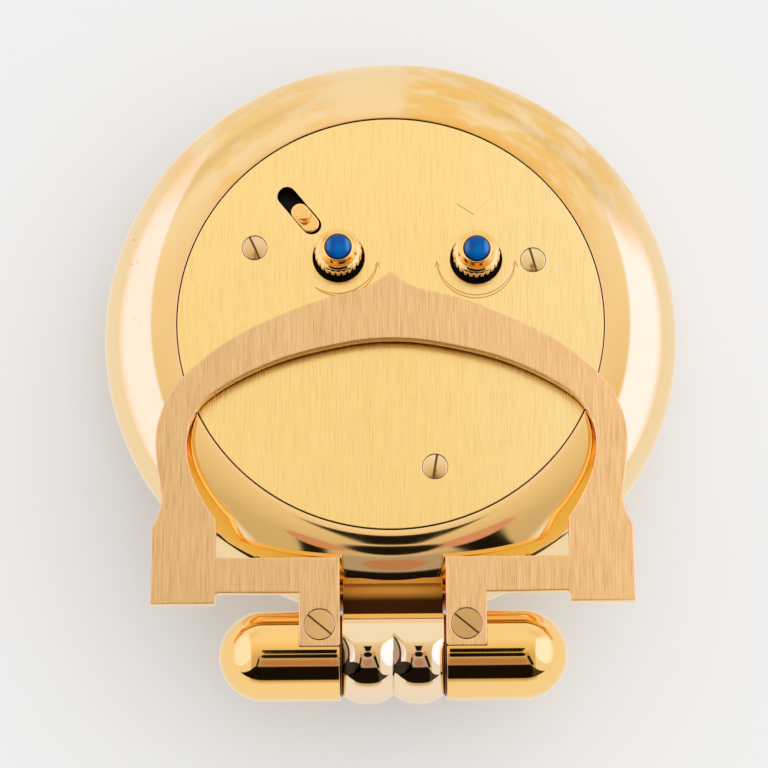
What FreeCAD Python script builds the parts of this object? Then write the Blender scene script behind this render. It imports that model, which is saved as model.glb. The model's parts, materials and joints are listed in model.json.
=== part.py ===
import FreeCAD, Part
import math
import os

from FreeCAD import Placement, Rotation, Vector

# Travel alarm clock with a folding stand, lying on the front rim of its case.
# Millimetres. The origin is the centre of the front rim, +Z points out of the back, +Y is 12 o'clock.

# ---- Case ----
case_radius = 40.0
equator_height = 8.8
plate_radius = 29.4
plate_thickness = 1.2
plate_gap = 0.15
ledge_width = 1.75
ledge_thickness = 1.5
case_bore = 29.0
shoulder_width = 2.4
bezel_flange_width = 2.1
bezel_flange_thickness = 1.2
rim_flat_width = 1.0
bezel_wall = 0.4
bezel_lip_thickness = 0.55
bezel_lip_overlap = 0.6
crystal_recess = 0.45
crystal_thickness = 1.4
gasket_width = 0.45
hands_room = 2.0
dial_thickness = 0.4
dial_ring_width = 1.7
plate_gasket_width = 1.0
plate_gasket_thickness = 0.3

# ---- Fits ----
slip_fit = 0.05
press_gap = 0.02

# ---- Movement ----
movement_radius = 20.0
movement_plate_thickness = 1.0
cover_thickness = 0.8
bridge_thickness = 0.8
setting_wheel_thickness = 0.6
train_wheel_thickness = 0.4
level_gap = 0.3
switch_space = 1.3
pillar_radius = 1.6
pillar_circle = 17.6
pillar_angles = (90.0, 195.0, 345.0)
post_radius = 1.0
pressure_angle = math.radians(20.0)
pinion_addendum = 1.0
wheel_addendum = 0.7
root_depth = 1.2
tooth_thinning = 0.09
seconds_arbor_radius = 0.4
tube_wall = 0.35
arbor_radius = 0.35
motion_arbor_radius = 0.5
pivot_radius = 0.25
pivot_length = 0.5
third_distance = 6.8
third_angle = math.radians(85.0)
first_distance = 7.0
rotor_distance = 4.8
motion_bend = math.radians(21.2)
holder_fit = 0.2
holder_wall = 1.2
holder_inner_wall = 0.8
holder_web = 1.0
screw_post_radius = 1.45

# ---- Setting crowns and alarm switch, on the back plate ----
time_crown_place = Vector(11.93, 8.79, 0)
alarm_crown_place = Vector(-7.12, 9.21, 0)
crown_hole_radius = 3.6
cup_wall = 0.4
cup_floor = 0.3
stem_radius = 0.9
stem_pivot_radius = 0.5
crown_radius = 3.25
crown_flutes = 24
flute_radius = 0.36
crown_neck_radius = 1.6
crown_neck_depth = 1.8
skirt_rise = 1.5
skirt_height = 1.6
collar_radius = 2.7
collar_height = 0.8
stone_seat_radius = 2.1
stone_seat_height = 0.95
stone_radius = 1.87
stone_height = 1.15
slot_low_end = Vector(-10.86, 13.93, 0)
slot_length = 5.45
slot_angle = math.radians(128.9)
slot_width = 2.7
lever_length = 2.2
lever_rest_gap = 0.35
lever_travel = 2.8
lever_sink = 0.1
lever_peg_radius = 0.95
lever_peg_height = 1.3
foot_thickness = 0.7
foot_width = 4.1
guide_wall = 0.3

# ---- Screws ----
plate_screw_circle = 21.6
plate_screws = ((150.4, 114.0), (23.4, 105.0), (-74.1, 80.0))
plate_screw_radius = 1.72
plate_screw_head = 0.8
plate_screw_dome = 0.22
plate_screw_shank = 0.7
plate_screw_length = 4.5
movement_screw_radius = 1.3
movement_screw_head = 0.5
movement_screw_shank = 0.7
movement_screw_length = 3.5
stand_screw_radius = 2.05
stand_screw_head = 0.9
stand_screw_shank = 0.8
stand_screw_reach = 2.8
stand_screw_turn = -40.0
knuckle_screw_radius = 1.5
knuckle_screw_head = 1.4
knuckle_screw_shank = 0.9
knuckle_screw_spacing = 6.8
knuckle_screw_height = 9.5
knuckle_screw_reach = 3.4
driver_slot_width = 0.45
driver_slot_depth = 0.4

# ---- Folding stand and hinge ----
stand_gap = 0.8
stand_thickness = 1.8
barrel_radius = 6.05
barrel_gap = 0.15
barrel_half_length = 23.55
knuckle_half_width = 6.87
washer_room = 0.3
washer_gap = 0.04
washer_radius = 4.0
pin_radius = 1.6
bush_wall = 0.6
bush_length = 10.0
lobe_offset = 0.45
knuckle_drop = 0.6
knuckle_front_gap = 1.35
knuckle_corner = 3.5
knuckle_edge = 0.6
neck_inset = 0.45
neck_waist = 2.6
arch_half_width = 32.1
foot_flare = 0.4
leg_width = 8.7
side_rail = 4.25
top_rail = 9.7
peak_height = 6.42
foot_gap = 0.1
foot_step = 1.45
arm_width = 4.8
tongue_setback = 0.2
tongue_inset = 0.25
tongue_width = 5.45
tongue_corner = 0.5
stand_screw_from_end = 3.0

# ---- Hands and dial ----
hand_thickness = 0.15
hand_gap = 0.2
dial_clearance = 0.35
minute_hand_length = 23.5
hour_hand_length = 16.0
seconds_hand_length = 24.5
alarm_hand_length = 13.0
marker_outer = 26.6
marker_length = 3.6
marker_width = 0.95
marker_height = 0.25

# ---- Electrical pieces ----
battery_radius = 5.8
battery_height = 4.2
battery_place = Vector(-9.2, -10.4, 0)
contact_thickness = 0.3
buzzer_radius = 6.0
buzzer_height = 3.0
buzzer_place = Vector(9.2, -10.2, 0)
board_thickness = 0.8
board_edge = -7.7
coil_radius = 1.5
coil_half_length = 3.6
coil_distance = 17.1
stator_thickness = 0.6
magnet_radius = 1.6
magnet_gap = 0.4

# ---- Heights, stacked from the front rim towards the back ----
crystal_front = crystal_recess + bezel_lip_thickness
crystal_back = crystal_front + crystal_thickness
dial_front = crystal_back + hands_room
dial_back = dial_front + dial_thickness
front_plate_top = dial_back + movement_plate_thickness
alarm_level = front_plate_top + level_gap
hour_level = alarm_level + setting_wheel_thickness + level_gap
minute_level = hour_level + setting_wheel_thickness + level_gap
bridge_bottom = minute_level + setting_wheel_thickness + level_gap
bridge_top = bridge_bottom + bridge_thickness
centre_level = bridge_top + level_gap
third_level = centre_level + train_wheel_thickness + level_gap
seconds_level = third_level + train_wheel_thickness + level_gap
first_level = seconds_level + train_wheel_thickness + level_gap
cover_bottom = first_level + train_wheel_thickness + level_gap
cover_top = cover_bottom + cover_thickness
plate_bottom = cover_top + switch_space
case_height = plate_bottom + plate_thickness
stand_bottom = case_height + stand_gap
sole_height = stand_bottom + stand_thickness
hinge_z = sole_height - barrel_radius
hinge_y = -(case_radius + barrel_gap + barrel_radius)

# ---- Radii ----
recess_radius = plate_radius + plate_gap
ledge_radius = recess_radius - ledge_width
socket_radius = case_bore + shoulder_width
bezel_radius = socket_radius + bezel_flange_width
skirt_radius = socket_radius - slip_fit
bezel_bore = skirt_radius - bezel_wall
crystal_radius = bezel_bore - gasket_width
cannon_bore = seconds_arbor_radius + slip_fit
cannon_radius = cannon_bore + tube_wall
hour_bore = cannon_radius + slip_fit
hour_radius = hour_bore + tube_wall
alarm_bore = hour_radius + slip_fit
alarm_radius = alarm_bore + tube_wall
hand_step = hand_thickness + hand_gap
alarm_hand_z = dial_front - dial_clearance - hand_thickness
hour_hand_z = alarm_hand_z - hand_step
minute_hand_z = hour_hand_z - hand_step
seconds_hand_z = minute_hand_z - hand_step
barrel_inner = knuckle_half_width + washer_room
bush_radius = pin_radius + slip_fit + bush_wall

UP = Vector(0, 0, 1)
RIGHT = Vector(1, 0, 0)


# ---- Small helpers ----
def at(x, y, z=0.0):
    return Vector(x, y, z)


def polar(radius, angle):
    return Vector(radius * math.cos(angle), radius * math.sin(angle), 0)


def disc(radius, low, high, place=Vector()):
    """A solid cylinder standing on the plane z = low."""
    return Part.makeCylinder(radius, high - low, at(place.x, place.y, low))


def ring(outer, inner, low, high, place=Vector()):
    return disc(outer, low, high, place).cut(disc(inner, low, high, place))


def joined(*shapes):
    first, *rest = shapes
    return first.multiFuse(rest).removeSplitter()


def turned(points):
    """A solid of revolution about Z from a closed outline of (radius, height) corners."""
    outline = Part.makePolygon([Vector(r, 0, z) for r, z in points + points[:1]])
    return Part.Face(outline).revolve(Vector(), UP, 360)


def prism(edges, low, high):
    """An outline drawn at z = 0, carried from z = low to z = high."""
    face = Part.Face(Part.Wire(Part.__sortEdges__(edges)))
    face.translate(at(0, 0, low))
    return face.extrude(at(0, 0, high - low))


def polygon_prism(points, low, high):
    outline = Part.makePolygon(points + points[:1])
    return prism(outline.Edges, low, high)


def link(start, end, radius, low, high):
    """A bar with round ends from one place to another."""
    along = (end - start).normalize() * radius
    across = Vector(-along.y, along.x, 0)
    a, b, c, d = start + across, end + across, end - across, start - across
    edges = [
        Part.LineSegment(a, b).toShape(),
        Part.Arc(b, end + along, c).toShape(),
        Part.LineSegment(c, d).toShape(),
        Part.Arc(d, start - along, a).toShape(),
    ]
    return prism(edges, low, high)


def meeting_place(start, end, bend):
    """The apex of the isosceles triangle on start and end whose base angles are bend, to the right."""
    span = end - start
    middle = (start + end) * 0.5
    side = Vector(span.y, -span.x, 0)
    return middle + side * (0.5 * math.tan(bend))


def save(name, *solids):
    shape = solids[0] if len(solids) == 1 else Part.makeCompound(list(solids))
    shape.exportStep("parts/" + name + ".step")


def driver_slot(place, top, radius, turn):
    """The cutter of a straight screwdriver slot, turned by an angle in degrees."""
    cutter = Part.makeBox(4 * radius, driver_slot_width, 2 * driver_slot_depth)
    cutter.translate(at(-2 * radius, -driver_slot_width / 2, -driver_slot_depth))
    cutter.Placement = Placement(at(place.x, place.y, top), Rotation(UP, turn)).multiply(cutter.Placement)
    return cutter


# ---- Gears ----
def involute(angle):
    return math.tan(angle) - angle


def gear(teeth, module, place, phase, addendum, low, thickness):
    """A spur gear with involute flanks, thinned for backlash, with one tooth centred on the phase angle."""
    pitch = module * teeth / 2
    base = pitch * math.cos(pressure_angle)
    tip = pitch + addendum * module
    root = pitch - root_depth * module
    half_pitch_angle = math.pi / (2 * teeth) - tooth_thinning * module / pitch

    def half_angle(radius):
        pressed = math.acos(min(1.0, base / radius))
        return half_pitch_angle + involute(pressure_angle) - involute(pressed)

    start = max(root, base)
    middle = (start + tip) / 2
    edges = []
    for index in range(teeth):
        centre = phase + 2 * math.pi * index / teeth
        following = centre + 2 * math.pi / teeth

        def spot(radius, angle):
            return place + polar(radius, angle)

        for side in (-1, 1):
            low_end = spot(start, centre + side * half_angle(start))
            bulge = spot(middle, centre + side * half_angle(middle))
            high_end = spot(tip, centre + side * half_angle(tip))
            edges.append(Part.Arc(low_end, bulge, high_end).toShape())
            if root < base:
                foot = spot(root, centre + side * half_angle(start))
                edges.append(Part.LineSegment(foot, low_end).toShape())
        crest = half_angle(tip)
        crest_start, crest_end = spot(tip, centre - crest), spot(tip, centre + crest)
        edges.append(Part.Arc(crest_start, spot(tip, centre), crest_end).toShape())
        ground = half_angle(start)
        gap_start = spot(root, centre + ground)
        gap_end = spot(root, following - ground)
        edges.append(Part.Arc(gap_start, spot(root, (centre + following) / 2), gap_end).toShape())
    return prism(edges, low, low + thickness)


def meshing_phase(teeth, phase, place, other_teeth, other_place):
    """The phase that puts a gap of the other gear where this gear's tooth points along the centre line."""
    toward = other_place - place
    line = math.atan2(toward.y, toward.x)
    return line + math.pi + math.pi / other_teeth - (phase - line) * teeth / other_teeth


def pair_module(distance, teeth, other_teeth):
    return 2 * distance / (teeth + other_teeth)


def crossings(place, radius, hole, low, high, count=5):
    """Round lightening holes in a wheel."""
    return [disc(hole, low, high, place + polar(radius, 2 * math.pi * n / count)) for n in range(count)]


# ---- Case, bezel, crystal and dial ----
def rim_curve(centre_radius, centre_height, width, height, first, last):
    """Part of an ellipse in the radius-height plane, as one smooth curve through seven of its points."""
    points = []
    for step in range(7):
        angle = first + (last - first) * step / 6
        radius = centre_radius + width * math.cos(angle)
        points.append(at(radius, 0, centre_height + height * math.sin(angle)))
    curve = Part.BSplineCurve()
    curve.interpolate(points)
    return curve.toShape()


def rim_outline():
    """The outer half of the ring's section: a quarter ellipse up to the plate and one down to the bezel."""
    upper = rim_curve(recess_radius, equator_height, case_radius - recess_radius,
                      case_height - equator_height, 0, math.pi / 2)
    lower = rim_curve(bezel_radius, equator_height, case_radius - bezel_radius,
                      equator_height - bezel_flange_thickness, 0, -math.pi / 2)
    return [upper, lower]


def revolved_section(corners):
    """The rim outline closed through the given (radius, height) corners, turned about Z."""
    points = [Vector(r, 0, z) for r, z in corners]
    lines = [Part.LineSegment(a, b).toShape() for a, b in zip(points, points[1:])]
    wire = Part.Wire(Part.__sortEdges__(rim_outline() + lines))
    return Part.Face(wire).revolve(Vector(), UP, 360)


def case_envelope():
    return revolved_section([(bezel_radius, bezel_flange_thickness), (0, bezel_flange_thickness),
                             (0, case_height), (recess_radius, case_height)])


def knuckle_screw_axes():
    return [at(side * knuckle_screw_spacing / 2, 0, knuckle_screw_height) for side in (-1, 1)]


def rearward(radius, start, end, origin):
    """A cylinder lying along -Y between two distances from the case's axis."""
    return Part.makeCylinder(radius, end - start, origin + at(0, -start, 0), Vector(0, -1, 0))


knuckle_screw_seat = case_bore + knuckle_screw_head + 0.6
knuckle_screw_end = -hinge_y - pin_radius - knuckle_screw_reach / 2


def make_case_ring():
    gasket_floor = plate_bottom - plate_gasket_thickness
    gasket_outer = ledge_radius + (ledge_width + plate_gasket_width) / 2
    ledge_bottom = plate_bottom - ledge_thickness
    body = revolved_section([
        (bezel_radius, bezel_flange_thickness),
        (socket_radius, bezel_flange_thickness),
        (socket_radius, dial_back),
        (case_bore, dial_back),
        (case_bore, ledge_bottom),
        (ledge_radius, ledge_bottom),
        (ledge_radius, plate_bottom),
        (recess_radius, plate_bottom),
        (recess_radius, case_height),
    ])
    body = body.cut(ring(gasket_outer, gasket_outer - plate_gasket_width, gasket_floor, plate_bottom))
    for origin in knuckle_screw_axes():
        pocket_radius = knuckle_screw_radius + slip_fit
        pocket = rearward(pocket_radius, ledge_radius - ledge_width, knuckle_screw_seat, origin)
        hole = rearward(knuckle_screw_shank, knuckle_screw_seat, case_radius + 1, origin)
        body = body.cut(pocket).cut(hole)
    save("case_ring", body)
    save("plate_gasket", ring(gasket_outer, gasket_outer - plate_gasket_width, gasket_floor, plate_bottom))


def make_bezel():
    lip_radius = crystal_radius - bezel_lip_overlap
    edge = rim_flat_width / 2
    section = [
        (bezel_radius - edge - rim_flat_width, 0),
        (bezel_radius - edge, 0),
        (bezel_radius, edge),
        (bezel_radius, bezel_flange_thickness),
        (skirt_radius, bezel_flange_thickness),
        (skirt_radius, dial_front - slip_fit),
        (bezel_bore, dial_front - slip_fit),
        (bezel_bore, crystal_front),
        (lip_radius, crystal_front),
        (lip_radius, crystal_recess),
    ]
    save("front_bezel", turned(section))
    save("crystal", disc(crystal_radius, crystal_front, crystal_back))
    save("crystal_gasket", ring(bezel_bore, crystal_radius, crystal_front, crystal_back))
    outer = bezel_bore - slip_fit
    slope = [
        (outer - dial_ring_width + 0.5, crystal_back),
        (outer, crystal_back),
        (outer, dial_front),
        (outer - dial_ring_width, dial_front),
    ]
    save("dial_ring", turned(slope))
    save("dial", ring(bezel_bore - slip_fit, alarm_radius + 0.3, dial_front, dial_back))


def make_hour_markers():
    """Twelve raised bars; the one at 12 is a pair."""
    markers = []
    for hour in range(12):
        offsets = (-0.6, 0.6) if hour == 0 else (0.0,)
        for offset in offsets:
            bar = Part.makeBox(marker_width, marker_length, marker_height)
            across = (offset - 0.5) * marker_width + offset * 0.25
            bar.translate(at(across, marker_outer - marker_length, dial_front - marker_height))
            bar.rotate(Vector(), UP, 30 * hour)
            markers.append(bar)
    save("hour_markers", *markers)


# ---- Hands ----
def hand(low, bore, hub, length, width, tail, degrees):
    """A flat tapering hand with a round hub, pointing at a clock angle counted from 12."""
    shape = [
        at(-width * 0.35, 0), at(-width / 2, length * 0.62), at(0, length), at(width / 2, length * 0.62),
        at(width * 0.35, 0), at(width * 0.3, -tail), at(-width * 0.3, -tail),
    ]
    blade = polygon_prism(shape, low, low + hand_thickness)
    body = joined(blade, disc(hub, low, low + hand_thickness))
    body = body.cut(disc(bore, low, low + hand_thickness))
    body.rotate(Vector(), UP, degrees)
    return body


def make_hands():
    save("alarm_hand", hand(alarm_hand_z, alarm_bore + tube_wall / 2, alarm_radius + 0.5,
                            alarm_hand_length, 1.0, 3.0, 180))
    save("hour_hand", hand(hour_hand_z, hour_bore + tube_wall / 2, hour_radius + 0.9,
                           hour_hand_length, 2.2, 3.0, 304.5))
    save("minute_hand", hand(minute_hand_z, cannon_bore + tube_wall / 2, cannon_radius + 1.0,
                             minute_hand_length, 1.7, 3.6, 54))
    save("seconds_hand", hand(seconds_hand_z, seconds_arbor_radius - 0.15, seconds_arbor_radius + 0.8,
                              seconds_hand_length, 0.5, 7.0, 210))


def stepped_tube(radius, bore, front, back):
    """A hand's tube: full radius, reduced in front to half its wall where the hand is pressed on."""
    body = ring(radius, bore, front + hand_thickness, back)
    seat = ring(bore + tube_wall / 2, bore, front, front + hand_thickness)
    return joined(body, seat)


# ---- Wheel work: teeth numbers, places and phases ----
centre = Vector()
time_place = time_crown_place
alarm_place = alarm_crown_place
motion_place = meeting_place(centre, time_place, motion_bend)
motion_distance = motion_place.Length
third_place = polar(third_distance, third_angle)
first_place = at(0, -first_distance)
rotor_place = at(0, -first_distance - rotor_distance)
bridge_head = third_place + polar(3.2, math.radians(55))
bridge_foot = rotor_place + at(0, -magnet_radius - 1.2)
coil_place = at(0, -coil_distance)

cannon_teeth, motion_teeth, time_pinion_teeth = 12, 36, 12
motion_pinion_teeth, hour_teeth = 10, 40
alarm_wheel_teeth, alarm_pinion_teeth = 26, 22
rotor_teeth, first_teeth, first_pinion_teeth, seconds_teeth = 8, 48, 10, 50
seconds_pinion_teeth, third_teeth, third_pinion_teeth, centre_teeth = 8, 64, 8, 60


def with_pivots(place, radius, low, high):
    """An arbor between two plates, with a thin pivot at each end."""
    return joined(
        disc(radius, low + slip_fit, high - slip_fit, place),
        disc(pivot_radius, low - pivot_length, high + pivot_length, place),
    )


def make_setting_wheels():
    wheel = setting_wheel_thickness
    module = pair_module(motion_distance, cannon_teeth, motion_teeth)
    motion_phase = meshing_phase(cannon_teeth, 0.0, centre, motion_teeth, motion_place)
    cannon = gear(cannon_teeth, module, centre, 0.0, pinion_addendum, minute_level, wheel)
    cannon = cannon.cut(disc(cannon_bore, minute_level, minute_level + wheel))
    tube_back = centre_level + train_wheel_thickness + slip_fit
    tube = stepped_tube(cannon_radius, cannon_bore, minute_hand_z, tube_back)
    save("cannon_pinion", joined(cannon, tube))

    pinion_module = pair_module(motion_distance, motion_pinion_teeth, hour_teeth)
    motion_wheel = gear(motion_teeth, module, motion_place, motion_phase, wheel_addendum, minute_level, wheel)
    motion_pinion = gear(motion_pinion_teeth, pinion_module, motion_place, 0.0, pinion_addendum,
                         hour_level, wheel)
    arbor = with_pivots(motion_place, motion_arbor_radius, front_plate_top, bridge_bottom)
    save("motion_wheel", joined(motion_wheel, motion_pinion, arbor))

    hour_phase = meshing_phase(motion_pinion_teeth, 0.0, motion_place, hour_teeth, centre)
    hour_wheel = gear(hour_teeth, pinion_module, centre, hour_phase, wheel_addendum, hour_level, wheel)
    hour_wheel = hour_wheel.cut(disc(hour_bore, hour_level, hour_level + wheel))
    hour_tube = stepped_tube(hour_radius, hour_bore, hour_hand_z, hour_level + wheel)
    save("hour_wheel", joined(hour_wheel, hour_tube))

    alarm_module = pair_module(alarm_place.Length, alarm_wheel_teeth, alarm_pinion_teeth)
    alarm_wheel = gear(alarm_wheel_teeth, alarm_module, centre, 0.0, wheel_addendum, alarm_level, wheel)
    alarm_wheel = alarm_wheel.cut(disc(alarm_bore, alarm_level, alarm_level + wheel))
    alarm_tube = stepped_tube(alarm_radius, alarm_bore, alarm_hand_z, alarm_level + wheel)
    save("alarm_wheel", joined(alarm_wheel, alarm_tube))

    time_phase = meshing_phase(motion_teeth, motion_phase, motion_place, time_pinion_teeth, time_place)
    time_pinion = gear(time_pinion_teeth, module, time_place, time_phase, pinion_addendum,
                       minute_level, wheel)
    save("time_stem", joined(time_pinion, stem(time_place)))
    alarm_phase = meshing_phase(alarm_wheel_teeth, 0.0, centre, alarm_pinion_teeth, alarm_place)
    alarm_pinion = gear(alarm_pinion_teeth, alarm_module, alarm_place, alarm_phase, pinion_addendum,
                        alarm_level, wheel)
    save("alarm_stem", joined(alarm_pinion, stem(alarm_place)))


def make_going_train():
    wheel = train_wheel_thickness
    seconds_pinion_module = pair_module(third_distance, seconds_pinion_teeth, third_teeth)
    seconds_module = pair_module(first_distance, first_pinion_teeth, seconds_teeth)
    seconds_pinion = gear(seconds_pinion_teeth, seconds_pinion_module, centre, 0.0, pinion_addendum,
                          third_level, wheel)
    seconds_wheel = gear(seconds_teeth, seconds_module, centre, 0.0, wheel_addendum, seconds_level, wheel)
    arbor = joined(
        disc(seconds_arbor_radius, seconds_hand_z + hand_thickness, cover_bottom - slip_fit),
        disc(seconds_arbor_radius - 0.15, seconds_hand_z, seconds_hand_z + hand_thickness),
        disc(pivot_radius, cover_bottom - slip_fit, cover_bottom + pivot_length),
    )
    save("seconds_wheel", joined(seconds_pinion, seconds_wheel, arbor))

    third_phase = meshing_phase(seconds_pinion_teeth, 0.0, centre, third_teeth, third_place)
    third_wheel = gear(third_teeth, seconds_pinion_module, third_place, third_phase, wheel_addendum,
                       third_level, wheel)
    centre_module = pair_module(third_distance, third_pinion_teeth, centre_teeth)
    third_pinion = gear(third_pinion_teeth, centre_module, third_place, 0.0, pinion_addendum,
                        centre_level, wheel)
    save("third_wheel", joined(third_wheel, third_pinion,
                               with_pivots(third_place, arbor_radius, bridge_top, cover_bottom)))

    centre_phase = meshing_phase(third_pinion_teeth, 0.0, third_place, centre_teeth, centre)
    centre_wheel = gear(centre_teeth, centre_module, centre, centre_phase, wheel_addendum,
                        centre_level, wheel)
    holes = crossings(centre, 3.4, 1.3, centre_level, centre_level + wheel)
    centre_wheel = centre_wheel.cut(disc(cannon_radius + slip_fit, centre_level, centre_level + wheel))
    save("centre_wheel", centre_wheel.cut(Part.makeCompound(holes)))

    first_pinion_phase = meshing_phase(seconds_teeth, 0.0, centre, first_pinion_teeth, first_place)
    first_pinion = gear(first_pinion_teeth, seconds_module, first_place, first_pinion_phase, pinion_addendum,
                        seconds_level, wheel)
    rotor_module = pair_module(rotor_distance, rotor_teeth, first_teeth)
    first_wheel = gear(first_teeth, rotor_module, first_place, 0.0, wheel_addendum, first_level, wheel)
    save("first_wheel", joined(first_wheel, first_pinion,
                               with_pivots(first_place, arbor_radius, bridge_top, cover_bottom)))

    rotor_phase = meshing_phase(first_teeth, 0.0, first_place, rotor_teeth, rotor_place)
    rotor_pinion = gear(rotor_teeth, rotor_module, rotor_place, rotor_phase, pinion_addendum,
                        first_level, wheel)
    magnet = disc(magnet_radius, stator_bottom, stator_bottom + stator_thickness, rotor_place)
    save("rotor", joined(rotor_pinion, magnet,
                         with_pivots(rotor_place, arbor_radius, bridge_top, cover_bottom)))


# ---- Movement plates ----
stator_bottom = third_level
pivot_depth = pivot_length + slip_fit
holder_inner = movement_radius + holder_fit
holder_outer = case_bore - slip_fit
train_pivots = (third_place, first_place, rotor_place)
pillar_places = [polar(pillar_circle, math.radians(angle)) for angle in pillar_angles]


def make_front_plate():
    body = ring(movement_radius, alarm_radius + slip_fit, dial_back, front_plate_top)
    pillars = [disc(pillar_radius, dial_back, cover_bottom, place) for place in pillar_places]
    posts = [disc(post_radius, dial_back, bridge_bottom, place) for place in (bridge_head, bridge_foot)]
    body = joined(body, *pillars, *posts)
    for place in pillar_places:
        body = body.cut(disc(movement_screw_shank, cover_bottom - movement_screw_length, cover_bottom, place))
    for place in (time_place, alarm_place):
        body = body.cut(disc(stem_pivot_radius + slip_fit, dial_back, front_plate_top, place))
    pivot_hole = disc(pivot_radius + slip_fit, front_plate_top - pivot_depth, front_plate_top, motion_place)
    save("front_plate", body.cut(pivot_hole))


def make_bridge():
    width = post_radius + 0.5
    limbs = [
        link(centre, bridge_foot, width, bridge_bottom, bridge_top),
        link(centre, bridge_head, width, bridge_bottom, bridge_top),
        link(centre, motion_place, width, bridge_bottom, bridge_top),
        disc(2.2, bridge_bottom, bridge_top, third_place),
    ]
    boss = disc(post_radius, bridge_top, stator_bottom, bridge_foot)
    body = joined(*limbs, boss)
    body = body.cut(disc(cannon_radius + slip_fit, bridge_bottom, bridge_top))
    for place in train_pivots:
        body = body.cut(disc(pivot_radius + slip_fit, bridge_top - pivot_depth, bridge_top, place))
    motion_hole = disc(pivot_radius + slip_fit, bridge_bottom, bridge_bottom + pivot_depth, motion_place)
    save("train_bridge", body.cut(motion_hole))


def make_cover():
    body = disc(movement_radius, cover_bottom, cover_top)
    for place in pillar_places:
        body = body.cut(disc(movement_screw_shank, cover_bottom, cover_top, place))
    for place in (time_place, alarm_place):
        body = body.cut(disc(stem_radius + slip_fit, cover_bottom, cover_top, place))
    for place in (centre,) + train_pivots:
        body = body.cut(disc(pivot_radius + slip_fit, cover_bottom, cover_bottom + pivot_depth, place))
    save("movement_cover", body)
    screws = []
    for place, turn in zip(pillar_places, (20, 75, 140)):
        head = disc(movement_screw_radius, cover_top, cover_top + movement_screw_head, place)
        tip = cover_bottom - movement_screw_length + 0.2
        shank = disc(movement_screw_shank - press_gap, tip, cover_top, place)
        slot = driver_slot(place, cover_top + movement_screw_head, movement_screw_radius, turn)
        screws.append(joined(head, shank).cut(slot))
    save("movement_screws", *screws)


def plate_screw_places():
    return [(polar(plate_screw_circle, math.radians(angle)), turn) for angle, turn in plate_screws]


def make_holder():
    ledge_bottom = plate_bottom - ledge_thickness
    body = joined(
        ring(holder_outer, holder_inner, dial_back, dial_back + holder_web),
        ring(holder_outer, holder_outer - holder_wall, dial_back, ledge_bottom),
        ring(holder_inner + holder_inner_wall, holder_inner, dial_back, cover_top),
        *[disc(screw_post_radius, dial_back, plate_bottom, place) for place, _ in plate_screw_places()],
    )
    for place, _ in plate_screw_places():
        low = plate_bottom - plate_screw_length
        body = body.cut(disc(plate_screw_shank, low, plate_bottom, place))
    body = body.cut(disc(holder_inner, dial_back, plate_bottom))
    save("movement_holder", body)


# ---- Back plate and what shows on it ----
slot_direction = polar(1.0, slot_angle)
slot_high_end = slot_low_end + slot_direction * slot_length
lever_low_end = slot_low_end + slot_direction * lever_rest_gap
lever_high_end = lever_low_end + slot_direction * lever_length
lever_radius = slot_width / 2 - slip_fit
foot_overhang = 1.3


def make_back_plate():
    body = disc(plate_radius, plate_bottom, case_height)
    for place in (time_crown_place, alarm_crown_place):
        body = body.cut(disc(crown_hole_radius, plate_bottom, case_height, place))
    body = body.cut(link(slot_low_end, slot_high_end, slot_width / 2, plate_bottom, case_height))
    seat = case_height - plate_screw_head
    for place, _ in plate_screw_places():
        body = body.cut(disc(plate_screw_shank + slip_fit, plate_bottom, case_height, place))
        body = body.cut(disc(plate_screw_radius + slip_fit, seat, case_height, place))
    save("back_plate", body)


def make_plate_screws():
    screws = []
    seat = case_height - plate_screw_head
    sphere_radius = (plate_screw_radius ** 2 + plate_screw_dome ** 2) / (2 * plate_screw_dome)
    for place, turn in plate_screw_places():
        head = disc(plate_screw_radius, seat, case_height + plate_screw_dome, place)
        dome_centre = at(place.x, place.y, case_height + plate_screw_dome - sphere_radius)
        head = head.common(Part.makeSphere(sphere_radius, dome_centre))
        shank = disc(plate_screw_shank - press_gap, plate_bottom - plate_screw_length + 0.3, seat, place)
        slot = driver_slot(place, case_height + plate_screw_dome / 2, plate_screw_radius, turn)
        screws.append(joined(head, shank).cut(slot))
    save("plate_screws", *screws)


def make_crown_cups():
    cups = []
    for place in (time_crown_place, alarm_crown_place):
        cup = disc(crown_hole_radius + cup_wall, cover_top, plate_bottom, place)
        cup = cup.cut(disc(crown_hole_radius, cover_top + cup_floor, plate_bottom, place))
        cups.append(cup.cut(disc(stem_radius + slip_fit, cover_top, plate_bottom, place)))
    save("crown_cups", *cups)


def stem(place):
    top = case_height + skirt_rise + skirt_height
    return joined(
        disc(stem_radius, front_plate_top + slip_fit, top, place),
        disc(stem_pivot_radius, dial_back + 0.2, front_plate_top + slip_fit, place),
    )


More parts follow.
